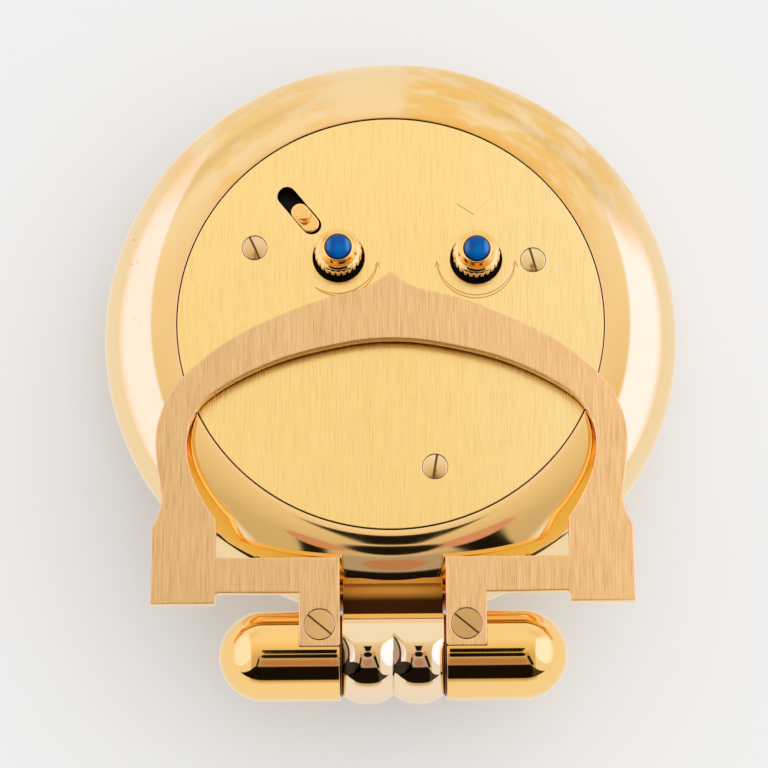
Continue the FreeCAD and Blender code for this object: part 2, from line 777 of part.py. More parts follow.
def make_crown(name, place):
    """A fluted skirt, a stepped collar and a seat for the stone, hollow for the stem."""
    neck = case_height - crown_neck_depth + cup_floor
    low = case_height + skirt_rise
    high = low + skirt_height
    collar_top = high + collar_height
    seat_top = collar_top + stone_seat_height
    girdle = seat_top - 0.35
    groove = 0.25
    profile = [
        (0, neck), (crown_neck_radius, neck), (crown_neck_radius, low), (crown_radius - 0.3, low),
        (crown_radius, low + 0.3), (crown_radius, high - 0.35), (crown_radius - 0.35, high),
        (collar_radius + 0.1, high), (collar_radius - groove, high + groove),
        (collar_radius, high + 2 * groove), (collar_radius - 0.1, collar_top - 0.1),
        (stone_seat_radius + groove, collar_top + 0.15), (stone_seat_radius, seat_top - 0.1),
        (stone_seat_radius - 0.12, seat_top), (stone_radius, seat_top), (stone_radius, girdle), (0, girdle),
    ]
    body = turned(profile)
    body.translate(place)
    for index in range(crown_flutes):
        angle = 2 * math.pi * (index + 0.5) / crown_flutes
        spot = place + polar(crown_radius + flute_radius * 0.35, angle)
        body = body.cut(disc(flute_radius, low - 0.1, high + 0.1, spot))
    body = body.cut(disc(stem_radius, neck, high, place))
    save(name + "_crown", body)
    sphere_radius = (stone_radius ** 2 + stone_height ** 2) / (2 * stone_height)
    dome = Part.makeSphere(sphere_radius, at(place.x, place.y, seat_top + stone_height - sphere_radius))
    dome = dome.common(disc(stone_radius, girdle, seat_top + stone_height, place))
    save(name + "_cabochon", dome)


def make_alarm_switch():
    """The lever that slides in the plate's slot, the foot that holds it in, and the foot's channel."""
    foot_low = cover_top + cup_floor + slip_fit
    foot_high = foot_low + foot_thickness
    lever_top = case_height - lever_sink
    pill = link(lever_low_end, lever_high_end, lever_radius, foot_high, lever_top)
    peg_place = lever_low_end + (lever_high_end - lever_low_end) * 0.62
    peg = Part.makeCone(lever_peg_radius * 1.1, lever_peg_radius * 0.75, lever_peg_height * 0.55,
                        at(peg_place.x, peg_place.y, lever_top))
    cap = disc(lever_peg_radius, lever_top + lever_peg_height * 0.55, lever_top + lever_peg_height, peg_place)
    save("alarm_lever", joined(pill, peg, cap))

    across = Vector(-slot_direction.y, slot_direction.x, 0)

    def bar(start, end, half_width, low, high):
        a, b = start + across * half_width, end + across * half_width
        c, d = end - across * half_width, start - across * half_width
        return polygon_prism([a, b, c, d], low, high)

    foot_start = lever_low_end - slot_direction * foot_overhang
    foot_end = lever_high_end + slot_direction * foot_overhang
    save("lever_foot", bar(foot_start, foot_end, foot_width / 2, foot_low, foot_high))
    channel_start = foot_start - slot_direction * 0.2
    channel_end = foot_end + slot_direction * (lever_travel + 0.2)
    half = foot_width / 2 + slip_fit
    wall = slot_direction * guide_wall
    guide = bar(channel_start - wall, channel_end + wall, half + guide_wall, cover_top, plate_bottom)
    channel = bar(channel_start, channel_end, half, cover_top + cup_floor, plate_bottom)
    save("switch_guide", guide.cut(channel))


# ---- Electrical pieces ----
def make_electrics():
    board_top = front_plate_top + board_thickness
    corner = Part.makeBox(2 * movement_radius, 2 * movement_radius, board_thickness)
    corner.translate(at(battery_place.x, board_edge - 2 * movement_radius, front_plate_top))
    board = disc(movement_radius - 0.6, front_plate_top, board_top).common(corner)
    bay = link(battery_place, battery_place * 2, battery_radius + 0.5, front_plate_top, board_top)
    board = board.cut(bay)
    board = board.cut(disc(post_radius + 0.2, front_plate_top, board_top, bridge_foot))
    save("circuit_board", board)

    battery_bottom = front_plate_top + contact_thickness
    battery_top = battery_bottom + battery_height
    can = disc(battery_radius, battery_bottom, battery_top - 0.4, battery_place)
    cap = disc(battery_radius - 0.8, battery_top - 0.4, battery_top, battery_place)
    save("battery", joined(can, cap))
    strip = disc(battery_radius * 0.7, front_plate_top, battery_bottom, battery_place)
    clip_radius = battery_radius + contact_thickness
    clip = ring(clip_radius, battery_radius, front_plate_top, battery_top - 1.0, battery_place)
    window = Part.makeBox(4 * battery_radius, 4 * battery_radius, 2 * battery_height)
    window.translate(battery_place + at(-2 * battery_radius, -0.8 * battery_radius, front_plate_top))
    save("battery_contacts", strip, clip.cut(window))

    buzzer = disc(buzzer_radius, board_top, board_top + buzzer_height, buzzer_place)
    port = disc(buzzer_radius / 5, board_top + buzzer_height / 2, board_top + buzzer_height, buzzer_place)
    save("buzzer", buzzer.cut(port))
    quartz = Part.makeCylinder(0.75, 5.0, at(-2.5, board_edge - 1.2, board_top + 0.75), RIGHT)
    save("quartz_can", quartz)
    chip = Part.makeBox(3.0, 2.2, 1.0, at(-1.5, board_edge - 5.0, board_top))
    save("timing_chip", chip)

    stator_top = stator_bottom + stator_thickness
    arm_ends = [coil_place + at(side * (coil_half_length + 1.8), 0) for side in (-1, 1)]
    limbs = [link(rotor_place, end, 1.0, stator_bottom, stator_top) for end in arm_ends]
    core = link(arm_ends[0], arm_ends[1], 1.0, stator_bottom, stator_top)
    yoke = disc(magnet_radius + 1.8, stator_bottom, stator_top, rotor_place)
    stator = joined(yoke, core, *limbs)
    save("stator", stator.cut(disc(magnet_radius + magnet_gap, stator_bottom, stator_top, rotor_place)))
    coil_axis = at(-coil_half_length, -coil_distance, (stator_bottom + stator_top) / 2)
    coil = Part.makeCylinder(coil_radius, 2 * coil_half_length, coil_axis, RIGHT)
    save("motor_coil", coil.cut(stator))


# ---- Hinge and stand ----
def hinge_cylinder(radius, start, end, y=hinge_y, z=hinge_z):
    """A cylinder along X between two distances from the middle."""
    return Part.makeCylinder(radius, end - start, at(start, y, z), RIGHT)


def side_prism(edges, half_width):
    """An outline in the Y-Z plane, carried equally to both sides along X."""
    face = Part.Face(Part.Wire(Part.__sortEdges__(edges)))
    face.translate(at(-half_width, 0, 0))
    return face.extrude(at(2 * half_width, 0, 0))


def line(a, b):
    return Part.LineSegment(a, b).toShape()


def make_knuckle():
    """Two round lobes on a block that reaches the case through a waisted neck."""
    half_height = barrel_radius - knuckle_drop
    front = -(case_radius + knuckle_front_gap)
    back = hinge_y - 1.0
    top, bottom = hinge_z + half_height, hinge_z - half_height
    corner, edge = knuckle_corner, knuckle_edge
    bend = corner * math.sqrt(0.5)
    high, low = top - corner, bottom + corner
    pivot_y = back + corner
    block_edges = [
        line(at(0, front, bottom + edge), at(0, front, top - edge)),
        line(at(0, front, top - edge), at(0, front - edge, top)),
        line(at(0, front - edge, top), at(0, pivot_y, top)),
        Part.Arc(at(0, pivot_y, top), at(0, pivot_y - bend, high + bend), at(0, back, high)).toShape(),
        line(at(0, back, high), at(0, back, low)),
        Part.Arc(at(0, back, low), at(0, pivot_y - bend, low - bend), at(0, pivot_y, bottom)).toShape(),
        line(at(0, pivot_y, bottom), at(0, front - edge, bottom)),
        line(at(0, front - edge, bottom), at(0, front, bottom + edge)),
    ]
    block = side_prism(block_edges, knuckle_half_width)
    lobe_middle = knuckle_half_width / 2
    slab = Part.makeBox(2 * knuckle_half_width, 4 * barrel_radius, 4 * barrel_radius)
    slab.translate(at(-knuckle_half_width, hinge_y - 2 * barrel_radius, hinge_z - 2 * barrel_radius))
    lobe_places = [at(side * lobe_middle, hinge_y - lobe_offset, hinge_z) for side in (-1, 1)]
    lobes = [Part.makeSphere(barrel_radius, place).common(slab) for place in lobe_places]

    inside = -(case_radius - 6.0)
    upper_y = -(case_radius - 2.4)
    rim_top = equator_height + (case_height - equator_height) * 0.64
    rim_low = equator_height * 0.7
    waist_y = (upper_y + front) / 2 - 0.2
    neck_edges = [
        line(at(0, inside, rim_low), at(0, inside, rim_top)),
        line(at(0, inside, rim_top), at(0, upper_y, rim_top)),
        Part.Arc(at(0, upper_y, rim_top), at(0, waist_y, rim_top - 0.7),
                 at(0, front, rim_top + neck_waist)).toShape(),
        line(at(0, front, rim_top + neck_waist), at(0, front - 1.0, rim_top + neck_waist)),
        line(at(0, front - 1.0, rim_top + neck_waist), at(0, front - 1.0, bottom + edge + 1.0)),
        line(at(0, front - 1.0, bottom + edge + 1.0), at(0, front, bottom + edge + 1.0)),
        Part.Arc(at(0, front, bottom + edge + 1.0), at(0, waist_y, rim_low + 1.1),
                 at(0, upper_y, rim_low)).toShape(),
        line(at(0, upper_y, rim_low), at(0, inside, rim_low)),
    ]
    neck = side_prism(neck_edges, knuckle_half_width - neck_inset)
    body = joined(block, neck, *lobes).cut(case_envelope())
    body = body.cut(hinge_cylinder(pin_radius, -knuckle_half_width, knuckle_half_width))
    screws = []
    for origin in knuckle_screw_axes():
        body = body.cut(rearward(knuckle_screw_shank, case_radius - 2, knuckle_screw_end + 0.3, origin))
        head_start = knuckle_screw_seat - knuckle_screw_head
        head = rearward(knuckle_screw_radius, head_start, knuckle_screw_seat, origin)
        shank = rearward(knuckle_screw_shank - press_gap, knuckle_screw_seat, knuckle_screw_end, origin)
        slot = Part.makeBox(4 * knuckle_screw_radius, driver_slot_depth, driver_slot_width)
        slot_y = -head_start - driver_slot_depth
        slot.translate(origin + at(-2 * knuckle_screw_radius, slot_y, -driver_slot_width / 2))
        screws.append(joined(head, shank).cut(slot))
    save("hinge_knuckle", body)
    save("knuckle_screws", *screws)
    pin_end = barrel_inner + bush_length
    save("hinge_pin", hinge_cylinder(pin_radius, -pin_end, pin_end))
    washers = []
    for start in (knuckle_half_width, -knuckle_half_width - washer_room + washer_gap):
        washer = hinge_cylinder(washer_radius, start, start + washer_room - washer_gap)
        washers.append(washer.cut(hinge_cylinder(pin_radius, start, start + washer_room)))
    save("friction_washers", *washers)


foot_bottom = hinge_y + barrel_radius + foot_gap
arm_bottom = foot_bottom + foot_step
arm_top = arm_bottom + arm_width
leg_outer = arch_half_width + foot_flare
leg_inner = leg_outer - leg_width
tongue_end = hinge_y + tongue_setback
tongue_inner = knuckle_half_width + tongue_inset
tongue_outer = tongue_inner + tongue_width
waist_top = arm_top + 8.2
screw_y = tongue_end + stand_screw_from_end
screw_x = (tongue_inner + tongue_outer) / 2


def mirrored(edges):
    return edges + [edge.mirror(Vector(), RIGHT) for edge in edges]


def smooth(points):
    curve = Part.BSplineCurve()
    curve.interpolate(points)
    return curve.toShape()


def arch_points(shares, half_width, low, high):
    """Points given as shares of the arch's half width and of its height."""
    return [at(x * half_width, low + y * (high - low)) for x, y in shares]


def stand_outline():
    """The right half of the frame's outline, from the peak round foot and tongue to the window's top."""
    arch = arch_points([(0.175, 0.908), (0.36, 0.851), (0.53, 0.780), (0.74, 0.662), (0.835, 0.583),
                        (0.92, 0.492), (0.968, 0.405), (0.997, 0.295), (0.998, 0.210), (0.985, 0.110),
                        (0.972, 0.0)],
                       arch_half_width, waist_top, peak_height)
    peak = at(0, peak_height)
    flank = arch_points([(0.075, 0.943)], arch_half_width, waist_top, peak_height)[0]
    waist = arch[-1]
    leg_top = at(leg_outer, waist_top - 4.0)
    hollow = at((waist.x + leg_outer) / 2 - 0.15, waist_top - 2.4)
    inner_top = arm_top + 5.2
    window_half = arch_half_width - side_rail
    window = arch_points([(0.865, 0.0), (0.905, 0.090), (0.965, 0.225), (0.997, 0.370), (0.998, 0.430),
                          (0.975, 0.555), (0.925, 0.650), (0.85, 0.720), (0.70, 0.815), (0.505, 0.903),
                          (0.31, 0.958), (0.15, 0.99), (0.0, 1.0)],
                         window_half, inner_top, peak_height - top_rail)
    window[0] = at(leg_inner, inner_top)
    round_foot = tongue_corner
    corner = round_foot * math.sqrt(0.5)
    tip = tongue_end + round_foot
    return [
        Part.Arc(peak, flank, arch[0]).toShape(),
        smooth(arch),
        Part.Arc(waist, hollow, leg_top).toShape(),
        line(leg_top, at(leg_outer, foot_bottom)),
        line(at(leg_outer, foot_bottom), at(leg_inner + round_foot, foot_bottom)),
        Part.Arc(at(leg_inner + round_foot, foot_bottom),
                 at(leg_inner + round_foot - corner, foot_bottom + round_foot - corner),
                 at(leg_inner, foot_bottom + round_foot)).toShape(),
        line(at(leg_inner, foot_bottom + round_foot), at(leg_inner, arm_bottom - round_foot)),
        Part.Arc(at(leg_inner, arm_bottom - round_foot),
                 at(leg_inner - round_foot + corner, arm_bottom - round_foot + corner),
                 at(leg_inner - round_foot, arm_bottom)).toShape(),
        line(at(leg_inner - round_foot, arm_bottom), at(tongue_outer, arm_bottom)),
        line(at(tongue_outer, arm_bottom), at(tongue_outer, tip)),
        Part.Arc(at(tongue_outer, tip), at(tongue_outer - round_foot + corner, tip - corner),
                 at(tongue_outer - round_foot, tongue_end)).toShape(),
        line(at(tongue_outer - round_foot, tongue_end), at(tongue_inner + round_foot, tongue_end)),
        Part.Arc(at(tongue_inner + round_foot, tongue_end),
                 at(tongue_inner + round_foot - corner, tip - corner),
                 at(tongue_inner, tip)).toShape(),
        line(at(tongue_inner, tip), at(tongue_inner, arm_top)),
        line(at(tongue_inner, arm_top), at(leg_inner, arm_top)),
        line(at(leg_inner, arm_top), window[0]),
        smooth(window),
    ]


def make_stand():
    body = prism(mirrored(stand_outline()), stand_bottom, sole_height)
    seat = sole_height - stand_screw_head
    screws = []
    for side in (-1, 1):
        place = at(side * screw_x, screw_y)
        body = body.cut(disc(stand_screw_shank + slip_fit, stand_bottom, sole_height, place))
        body = body.cut(disc(stand_screw_radius + slip_fit, seat, sole_height, place))
        head = disc(stand_screw_radius, seat, sole_height, place)
        shank = disc(stand_screw_shank - press_gap, stand_bottom - stand_screw_reach + 0.2, seat, place)
        slot = driver_slot(place, sole_height, stand_screw_radius, stand_screw_turn)
        screws.append(joined(head, shank).cut(slot))
    save("stand_frame", body)
    save("stand_screws", *screws)


def make_barrels():
    """Two cylinders with round outer ends, each with a bush and a flat seat for its tongue."""
    bushes = []
    for name, side in (("barrel_left", -1), ("barrel_right", 1)):
        straight_end = barrel_half_length - barrel_radius
        span = sorted((side * barrel_inner, side * straight_end))
        body = joined(hinge_cylinder(barrel_radius, *span),
                      Part.makeSphere(barrel_radius, at(side * straight_end, hinge_y, hinge_z)))
        bore_span = sorted((side * barrel_inner, side * (barrel_inner + bush_length + 0.5)))
        body = body.cut(hinge_cylinder(bush_radius, *bore_span))
        seat = Part.makeBox(tongue_outer + slip_fit, 2 * barrel_radius, 2 * barrel_radius)
        seat.translate(at(0 if side > 0 else -tongue_outer - slip_fit, tongue_end - slip_fit, stand_bottom))
        body = body.cut(seat)
        hole_bottom = stand_bottom - stand_screw_reach
        body = body.cut(disc(stand_screw_shank, hole_bottom, stand_bottom, at(side * screw_x, screw_y)))
        save(name, body)
        bush_span = sorted((side * barrel_inner, side * (barrel_inner + bush_length)))
        bush = hinge_cylinder(bush_radius, *bush_span)
        bushes.append(bush.cut(hinge_cylinder(pin_radius + slip_fit, *bush_span)))
    save("barrel_bushes", *bushes)


os.makedirs("parts", exist_ok=True)
make_case_ring()
make_bezel()
make_hour_markers()
make_hands()
make_setting_wheels()
make_going_train()
make_front_plate()
make_bridge()
make_cover()
make_holder()
make_back_plate()
make_plate_screws()
make_crown_cups()
make_crown("time", time_crown_place)
make_crown("alarm", alarm_crown_place)
make_alarm_switch()
make_electrics()
make_knuckle()
make_stand()
make_barrels()
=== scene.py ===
import json
import math

import bmesh
import bpy
import numpy as np
from mathutils import Matrix, Vector
from mathutils.geometry import tessellate_polygon


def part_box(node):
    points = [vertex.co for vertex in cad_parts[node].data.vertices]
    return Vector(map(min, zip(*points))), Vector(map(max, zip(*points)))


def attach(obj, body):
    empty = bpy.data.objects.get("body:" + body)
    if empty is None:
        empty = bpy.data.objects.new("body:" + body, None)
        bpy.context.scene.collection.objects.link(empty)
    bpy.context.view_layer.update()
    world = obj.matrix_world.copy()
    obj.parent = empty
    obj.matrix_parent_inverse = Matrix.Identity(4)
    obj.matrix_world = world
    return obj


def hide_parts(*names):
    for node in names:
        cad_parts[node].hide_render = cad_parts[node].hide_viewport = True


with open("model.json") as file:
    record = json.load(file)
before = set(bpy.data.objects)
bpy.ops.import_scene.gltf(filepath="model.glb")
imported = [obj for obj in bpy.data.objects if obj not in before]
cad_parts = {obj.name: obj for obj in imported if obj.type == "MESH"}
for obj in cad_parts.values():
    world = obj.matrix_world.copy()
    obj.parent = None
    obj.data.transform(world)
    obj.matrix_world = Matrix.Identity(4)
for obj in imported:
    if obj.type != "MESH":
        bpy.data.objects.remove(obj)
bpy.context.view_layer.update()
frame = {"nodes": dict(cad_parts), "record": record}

bl_info = {
    "name": "Travel Alarm Clock",
    "version": (1, 0, 0),
    "blender": (4, 5, 0),
    "location": "View3D > Sidebar > Clock",
    "description": "Builds the looks of a folding travel alarm clock round its packed CAD frame",
    "category": "Object",
}

MM = 0.001
DEGREES = 180 / math.pi


# ---- Node trees ----
class Signal:
    """One output socket of a tree. Sums, products and so on of signals each add one Math node."""

    def __init__(self, tree, socket):
        self.tree, self.socket = tree, socket

    def math(self, operation, *others):
        """A Math node with this value first."""
        return self.tree.math(operation, self, *others)

    def greater(self, other):
        """The greater of this value and another; for masks, what either covers."""
        return self.math("MAXIMUM", other)

    def lesser(self, other):
        """The lesser of this value and another."""
        return self.math("MINIMUM", other)

    def __add__(self, other):
        return self.math("ADD", other)

    def __sub__(self, other):
        return self.math("SUBTRACT", other)

    def __mul__(self, other):
        return self.math("MULTIPLY", other)

    def __truediv__(self, other):
        return self.math("DIVIDE", other)

    def __radd__(self, other):
        return self.tree.math("ADD", other, self)

    def __rsub__(self, other):
        return self.tree.math("SUBTRACT", other, self)

    def __rmul__(self, other):
        return self.tree.math("MULTIPLY", other, self)

    def __rtruediv__(self, other):
        return self.tree.math("DIVIDE", other, self)

    def __neg__(self):
        return self * -1.0

    def __abs__(self):
        return self.math("ABSOLUTE")


class Tree:
    """The node tree of a material or world, emptied and then filled node by node."""

    def __init__(self, owner):
        owner.use_nodes = True
        self.nodes, self.links = owner.node_tree.nodes, owner.node_tree.links
        self.nodes.clear()

    def add(self, kind, settings=None, inputs=None, output=0):
        """Adds a node: its settings first, then its inputs, each a plain value or a signal."""
        node = self.nodes.new(kind)
        for name, value in (settings or {}).items():
            if name == "stops":
                ramp = node.color_ramp
                while len(ramp.elements) > 1:
                    ramp.elements.remove(ramp.elements[-1])
                ramp.elements[0].position, ramp.elements[0].color = value[0]
                for position, colour in value[1:]:
                    ramp.elements.new(position).color = colour
            else:
                setattr(node, name, value)
        for name, value in (inputs or {}).items():
            if isinstance(value, Signal):
                self.links.new(value.socket, node.inputs[name])
            else:
                node.inputs[name].default_value = value
        return Signal(self, node.outputs[output]) if len(node.outputs) else None

    def math(self, operation, *values):
        """A Math node of signals and numbers."""
        return self.add("ShaderNodeMath", {"operation": operation}, dict(enumerate(values)))

    def length(self, u, v):
        """The length of a flat vector, the root of its parts' squares added."""
        return (u * u + v * v).math("SQRT")

    def distance(self, u, v, start, end):
        """From the point (u, v) to the stretch between two points. The nearest point lies at the share
        ((u - u0) du + (v - v0) dv) / (du^2 + dv^2) of the way, held between 0 and 1."""
        (u0, v0), du, dv = start, end[0] - start[0], end[1] - start[1]
        share = ((u - u0) * du + (v - v0) * dv) / (du * du + dv * dv)
        share = share.greater(0.0).lesser(1.0)
        return self.length(u - u0 - share * du, v - v0 - share * dv)

    def parts(self, vector):
        """A vector's X, Y and Z."""
        return [self.add("ShaderNodeSeparateXYZ", inputs={0: vector}, output=n) for n in range(3)]

    def position(self):
        """Object coordinates as three signals in metres, and as one vector signal."""
        place = self.add("ShaderNodeTexCoord", output="Object")
        return self.parts(place) + [place]

    def step(self, value, low, high):
        """A smooth step: 0 up to low, 1 from high on. With high below low it falls instead of rising."""
        if low > high:
            return 1.0 - self.step(value, high, low)
        settings = {"interpolation_type": "SMOOTHSTEP"}
        return self.add("ShaderNodeMapRange", settings, {0: value, 1: low, 2: high})

    def band(self, value, low, high, blur):
        """1 from low to high, with blurred ends: a rising step times a falling one."""
        return self.step(value, low - blur, low + blur) * self.step(value, high + blur, high - blur)

    def remap(self, value, low, high, to_low, to_high):
        """A value carried from one range to another in a straight line, and held inside it."""
        return self.add("ShaderNodeMapRange", {"clamp": True},
                        {0: value, 1: low, 2: high, 3: to_low, 4: to_high})

    def vector(self, x, y, z):
        """A vector of three values."""
        return self.add("ShaderNodeCombineXYZ", inputs={0: x, 1: y, 2: z})

    def noise(self, vector, scale=1.0, detail=2.0, roughness=0.5):
        """Smooth noise about 0.5, with about as many lumps per unit of the vector as the scale says."""
        inputs = {"Vector": vector, "Scale": scale, "Detail": detail, "Roughness": roughness}
        return self.add("ShaderNodeTexNoise", {"noise_dimensions": "3D"}, inputs)

    def mix(self, factor, first, second):
        """A colour between two colours, each a signal or red, green and blue."""
        first, second = [end if isinstance(end, Signal) else rgba(end) for end in (first, second)]
        return self.add("ShaderNodeMix", {"data_type": "RGBA"}, {0: factor, 6: first, 7: second}, 2)

    def scaled(self, colour, factor):
        """A colour times a factor."""
        return self.add("ShaderNodeVectorMath", {"operation": "SCALE"}, {0: colour, 3: factor})

    def bump(self, height, distance):
        """A normal tilted by a height, 1 being as high as the distance."""
        return self.add("ShaderNodeBump", inputs={"Height": height, "Distance": distance, "Strength": 1.0})

    def principled(self, **inputs):
        """The surface shader, with words joined by underscores for its inputs' names."""
        named = {name.replace("_", " "): value for name, value in inputs.items()}
        shader = self.add("ShaderNodeBsdfPrincipled", inputs=named)
        self.add("ShaderNodeOutputMaterial", inputs={0: shader})


def rgba(colour):
    """Red, green and blue with an opaque alpha."""
    return (*colour, 1.0)


# ---- Shapes ----
class Shell:
    """Gathers grids and fills of points in metres, and makes one closed mesh object of them."""

    def __init__(self):
        self.points, self.faces, self.count = [], [], 0

    def take(self, points, faces):
        """Adds points, and faces that count from the first of them."""
        self.points.append(np.asarray(points, float).reshape(-1, 3))
        self.faces.append(np.asarray(faces, int) + self.count)
        self.count += len(self.points[-1])

    def grid(self, points, around=False):
        """Quads between neighbouring rows and columns, the last column joined to the first if around."""
        rows, columns = points.shape[:2]
        index = np.arange(rows * columns).reshape(rows, columns)
        if around:
            index = np.concatenate([index, index[:, :1]], axis=1)
        a, b, c, d = index[:-1, :-1], index[:-1, 1:], index[1:, 1:], index[1:, :-1]
        self.take(points, np.stack([a, b, c, d], axis=-1).reshape(-1, 4))

    def fill(self, loops, height):
        """A flat face at a height, inside the first loop and outside the others."""
        loops = [np.column_stack([loop, np.full(len(loop), height)]) for loop in loops]
        triangles = tessellate_polygon([[Vector(p) for p in loop] for loop in loops])
        self.take(np.concatenate(loops), triangles)

    def laid(self):
        """The same shell with (x, y, height) become (y, z, x), for outlines drawn from the side."""
        self.points = [points[:, [2, 0, 1]] for points in self.points]
        return self

    def solid(self, name):
        """A closed mesh object of the shell."""
        mesh = bpy.data.meshes.new(name)
        faces = [face for block in self.faces for face in block.tolist()]
        mesh.from_pydata(np.concatenate(self.points).tolist(), [], faces)
        work = bmesh.new()
        work.from_mesh(mesh)
        tidied(work, mesh)
        piece = bpy.data.objects.new(name, mesh)
        bpy.context.scene.collection.objects.link(piece)
        return piece

    def build(self, name, body, material, stands_for, crease=35.0):
        """Makes the shell a finished piece on a body, in place of the CAD nodes that it stands for."""
        finished(self.solid(name), body, material, stands_for, crease)


def tidied(work, mesh):
    """Puts a bmesh in a mesh, its doubles merged, its slivers dissolved and its faces turned outwards."""
    bmesh.ops.remove_doubles(work, verts=work.verts, dist=1e-7)
    bmesh.ops.dissolve_degenerate(work, edges=work.edges, dist=1e-7)
    bmesh.ops.recalc_face_normals(work, faces=work.faces)
    work.to_mesh(mesh)
    work.free()


def finished(piece, body, material, stands_for, crease):
    """Shades a piece smooth but for edges sharper than the crease in degrees, gives it its material, puts it
    on its body, and hides the CAD nodes that it stands for."""
    piece.data.shade_smooth()
    piece.data.set_sharp_from_angle(angle=math.radians(crease))
    piece.data.materials.clear()
    piece.data.materials.append(material)
    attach(piece, body)
    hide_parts(*stands_for)


def combined(first, other, operation):
    """The first solid with the other joined to it or cut from it by an exact boolean."""
    modifier = first.modifiers.new(other.name, "BOOLEAN")
    modifier.operation, modifier.object, modifier.solver = operation, other, "EXACT"
    graph = bpy.context.evaluated_depsgraph_get()
    work = bmesh.new()
    work.from_object(first, graph)
    first.modifiers.clear()
    tidied(work, first.data)
    bpy.data.objects.remove(other)
    return first


def brick(name, low, high):
    """A plain box between two corners."""
    shell = Shell()
    (x0, y0, z0), (x1, y1, z1) = low, high
    slab(shell, [np.array([(x0, y0), (x1, y0), (x1, y1), (x0, y1)])], z0, z1, 0.0, 0)
    return shell.solid(name)


def box_of(node):
    """A CAD node's lowest and highest corners, in metres."""
    return [np.array(corner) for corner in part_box(node)]


def middle_of(node):
    """The middle of a CAD node's box."""
    low, high = box_of(node)
    return (low + high) / 2


def softened(corners, sizes, steps=6):
    """A closed outline whose corners are rounded: each is replaced by a quadratic Bezier curve from the
    point at its size before the corner to the point at its size after it."""
    corners = np.asarray(corners, float)
    sizes = np.broadcast_to(sizes, len(corners))
    before, after = np.roll(corners, 1, axis=0), np.roll(corners, -1, axis=0)
    out = []
    t = np.linspace(0, 1, steps + 1)[:, None]
    for point, previous, following, size in zip(corners, before, after, sizes):
        if size <= 0:
            out.append(point[None])
            continue
        back, ahead = previous - point, following - point
        start = point + back * min(size / np.linalg.norm(back), 0.5)
        end = point + ahead * min(size / np.linalg.norm(ahead), 0.5)
        out.append((1 - t) ** 2 * start + 2 * t * (1 - t) * point + t ** 2 * end)
    return np.concatenate(out)


def ellipse(centre, radii, start, end, steps):
    """Points of an ellipse between two angles in degrees."""
    angle = np.radians(np.linspace(start, end, steps + 1))
    return np.column_stack([centre[0] + radii[0] * np.cos(angle), centre[1] + radii[1] * np.sin(angle)])


def lathe(shell, profile, centre=(0, 0, 0), axis="Z", steps=256, reach=None):
    """Turns a (radius, height) outline about an axis: x = radius cos angle, y = radius sin angle. Reach,
    where given, has each outline point's radius at every step instead."""
    profile = np.asarray(profile, float)
    angle = np.arange(steps) * 2 * math.pi / steps
    radius, height = profile[:, :1] if reach is None else reach, profile[:, 1:]
    turned = [radius * np.cos(angle), radius * np.sin(angle), np.broadcast_to(height, (len(profile), steps))]
    if axis == "X":
        turned = [turned[2], turned[0], turned[1]]
    shell.grid(np.stack(turned, axis=-1) + np.asarray(centre), around=True)


def arc_through(start, middle, end, steps):
    """Points of the circle through three points, from the first to the last by way of the second."""
    (ax, ay), (bx, by), (cx, cy) = start, middle, end
    doubled = 2 * (ax * (by - cy) + bx * (cy - ay) + cx * (ay - by))
    a, b, c = ax * ax + ay * ay, bx * bx + by * by, cx * cx + cy * cy
    x = (a * (by - cy) + b * (cy - ay) + c * (ay - by)) / doubled
    y = (a * (cx - bx) + b * (ax - cx) + c * (bx - ax)) / doubled
    angle = np.unwrap([math.atan2(py - y, px - x) for px, py in (start, middle, end)])
    return ellipse((x, y), [math.hypot(ax - x, ay - y)] * 2, *np.degrees(angle[[0, 2]]), steps)


def closed(profile):
    """An outline with its first point again at its end."""
    return np.concatenate([profile, profile[:1]])


def boundary_loops(node, height):
    """The outlines of a CAD node's flat face at a height, material on their left. A triangle's directed
    edge belongs to the outline when no other triangle has the same edge the other way round."""
    upright, level = 0.99, 1e-5
    mesh = frame["nodes"][node].data
    points = np.empty(3 * len(mesh.vertices))
    mesh.vertices.foreach_get("co", points)
    points = points.reshape(-1, 3)
    edges = set()
    for face in mesh.polygons:
        corner = points[list(face.vertices)]
        if face.normal.z < upright or np.abs(corner[:, 2] - height).max() > level:
            continue
        keys = [tuple(np.round(p[:2], 7)) for p in corner]
        for edge in zip(keys, keys[1:] + keys[:1]):
            if edge[::-1] in edges:
                edges.remove(edge[::-1])
            else:
                edges.add(edge)
    following = dict(sorted(edges))
    loops = []
    while following:
        loop = [min(following)]
        while loop[-1] in following:
            loop.append(following.pop(loop[-1]))
        loops.append(np.array(loop[:-1]))
    loops.sort(key=lambda loop: -np.ptp(loop[:, 0]))
    return [rounder(loop) for loop in loops]


def rounder(loop, slack=2e-5, steps=144):
    """A loop that is a circle, give or take the slack, becomes a finer circle run the same way round."""
    middle = (loop.min(axis=0) + loop.max(axis=0)) / 2
    away = np.linalg.norm(loop - middle, axis=1)
    if np.ptp(away) > slack:
        return loop
    way = math.copysign(1, signed_area(loop))
    angle = way * np.arange(steps) * 2 * math.pi / steps
    return middle + away.max() * np.column_stack([np.cos(angle), np.sin(angle)])


def signed_area(loop):
    """Half the sum of x times the next y less y times the next x: positive when run anticlockwise."""
    after = np.roll(loop, -1, axis=0)
    return 0.5 * np.sum(loop[:, 0] * after[:, 1] - loop[:, 1] * after[:, 0])


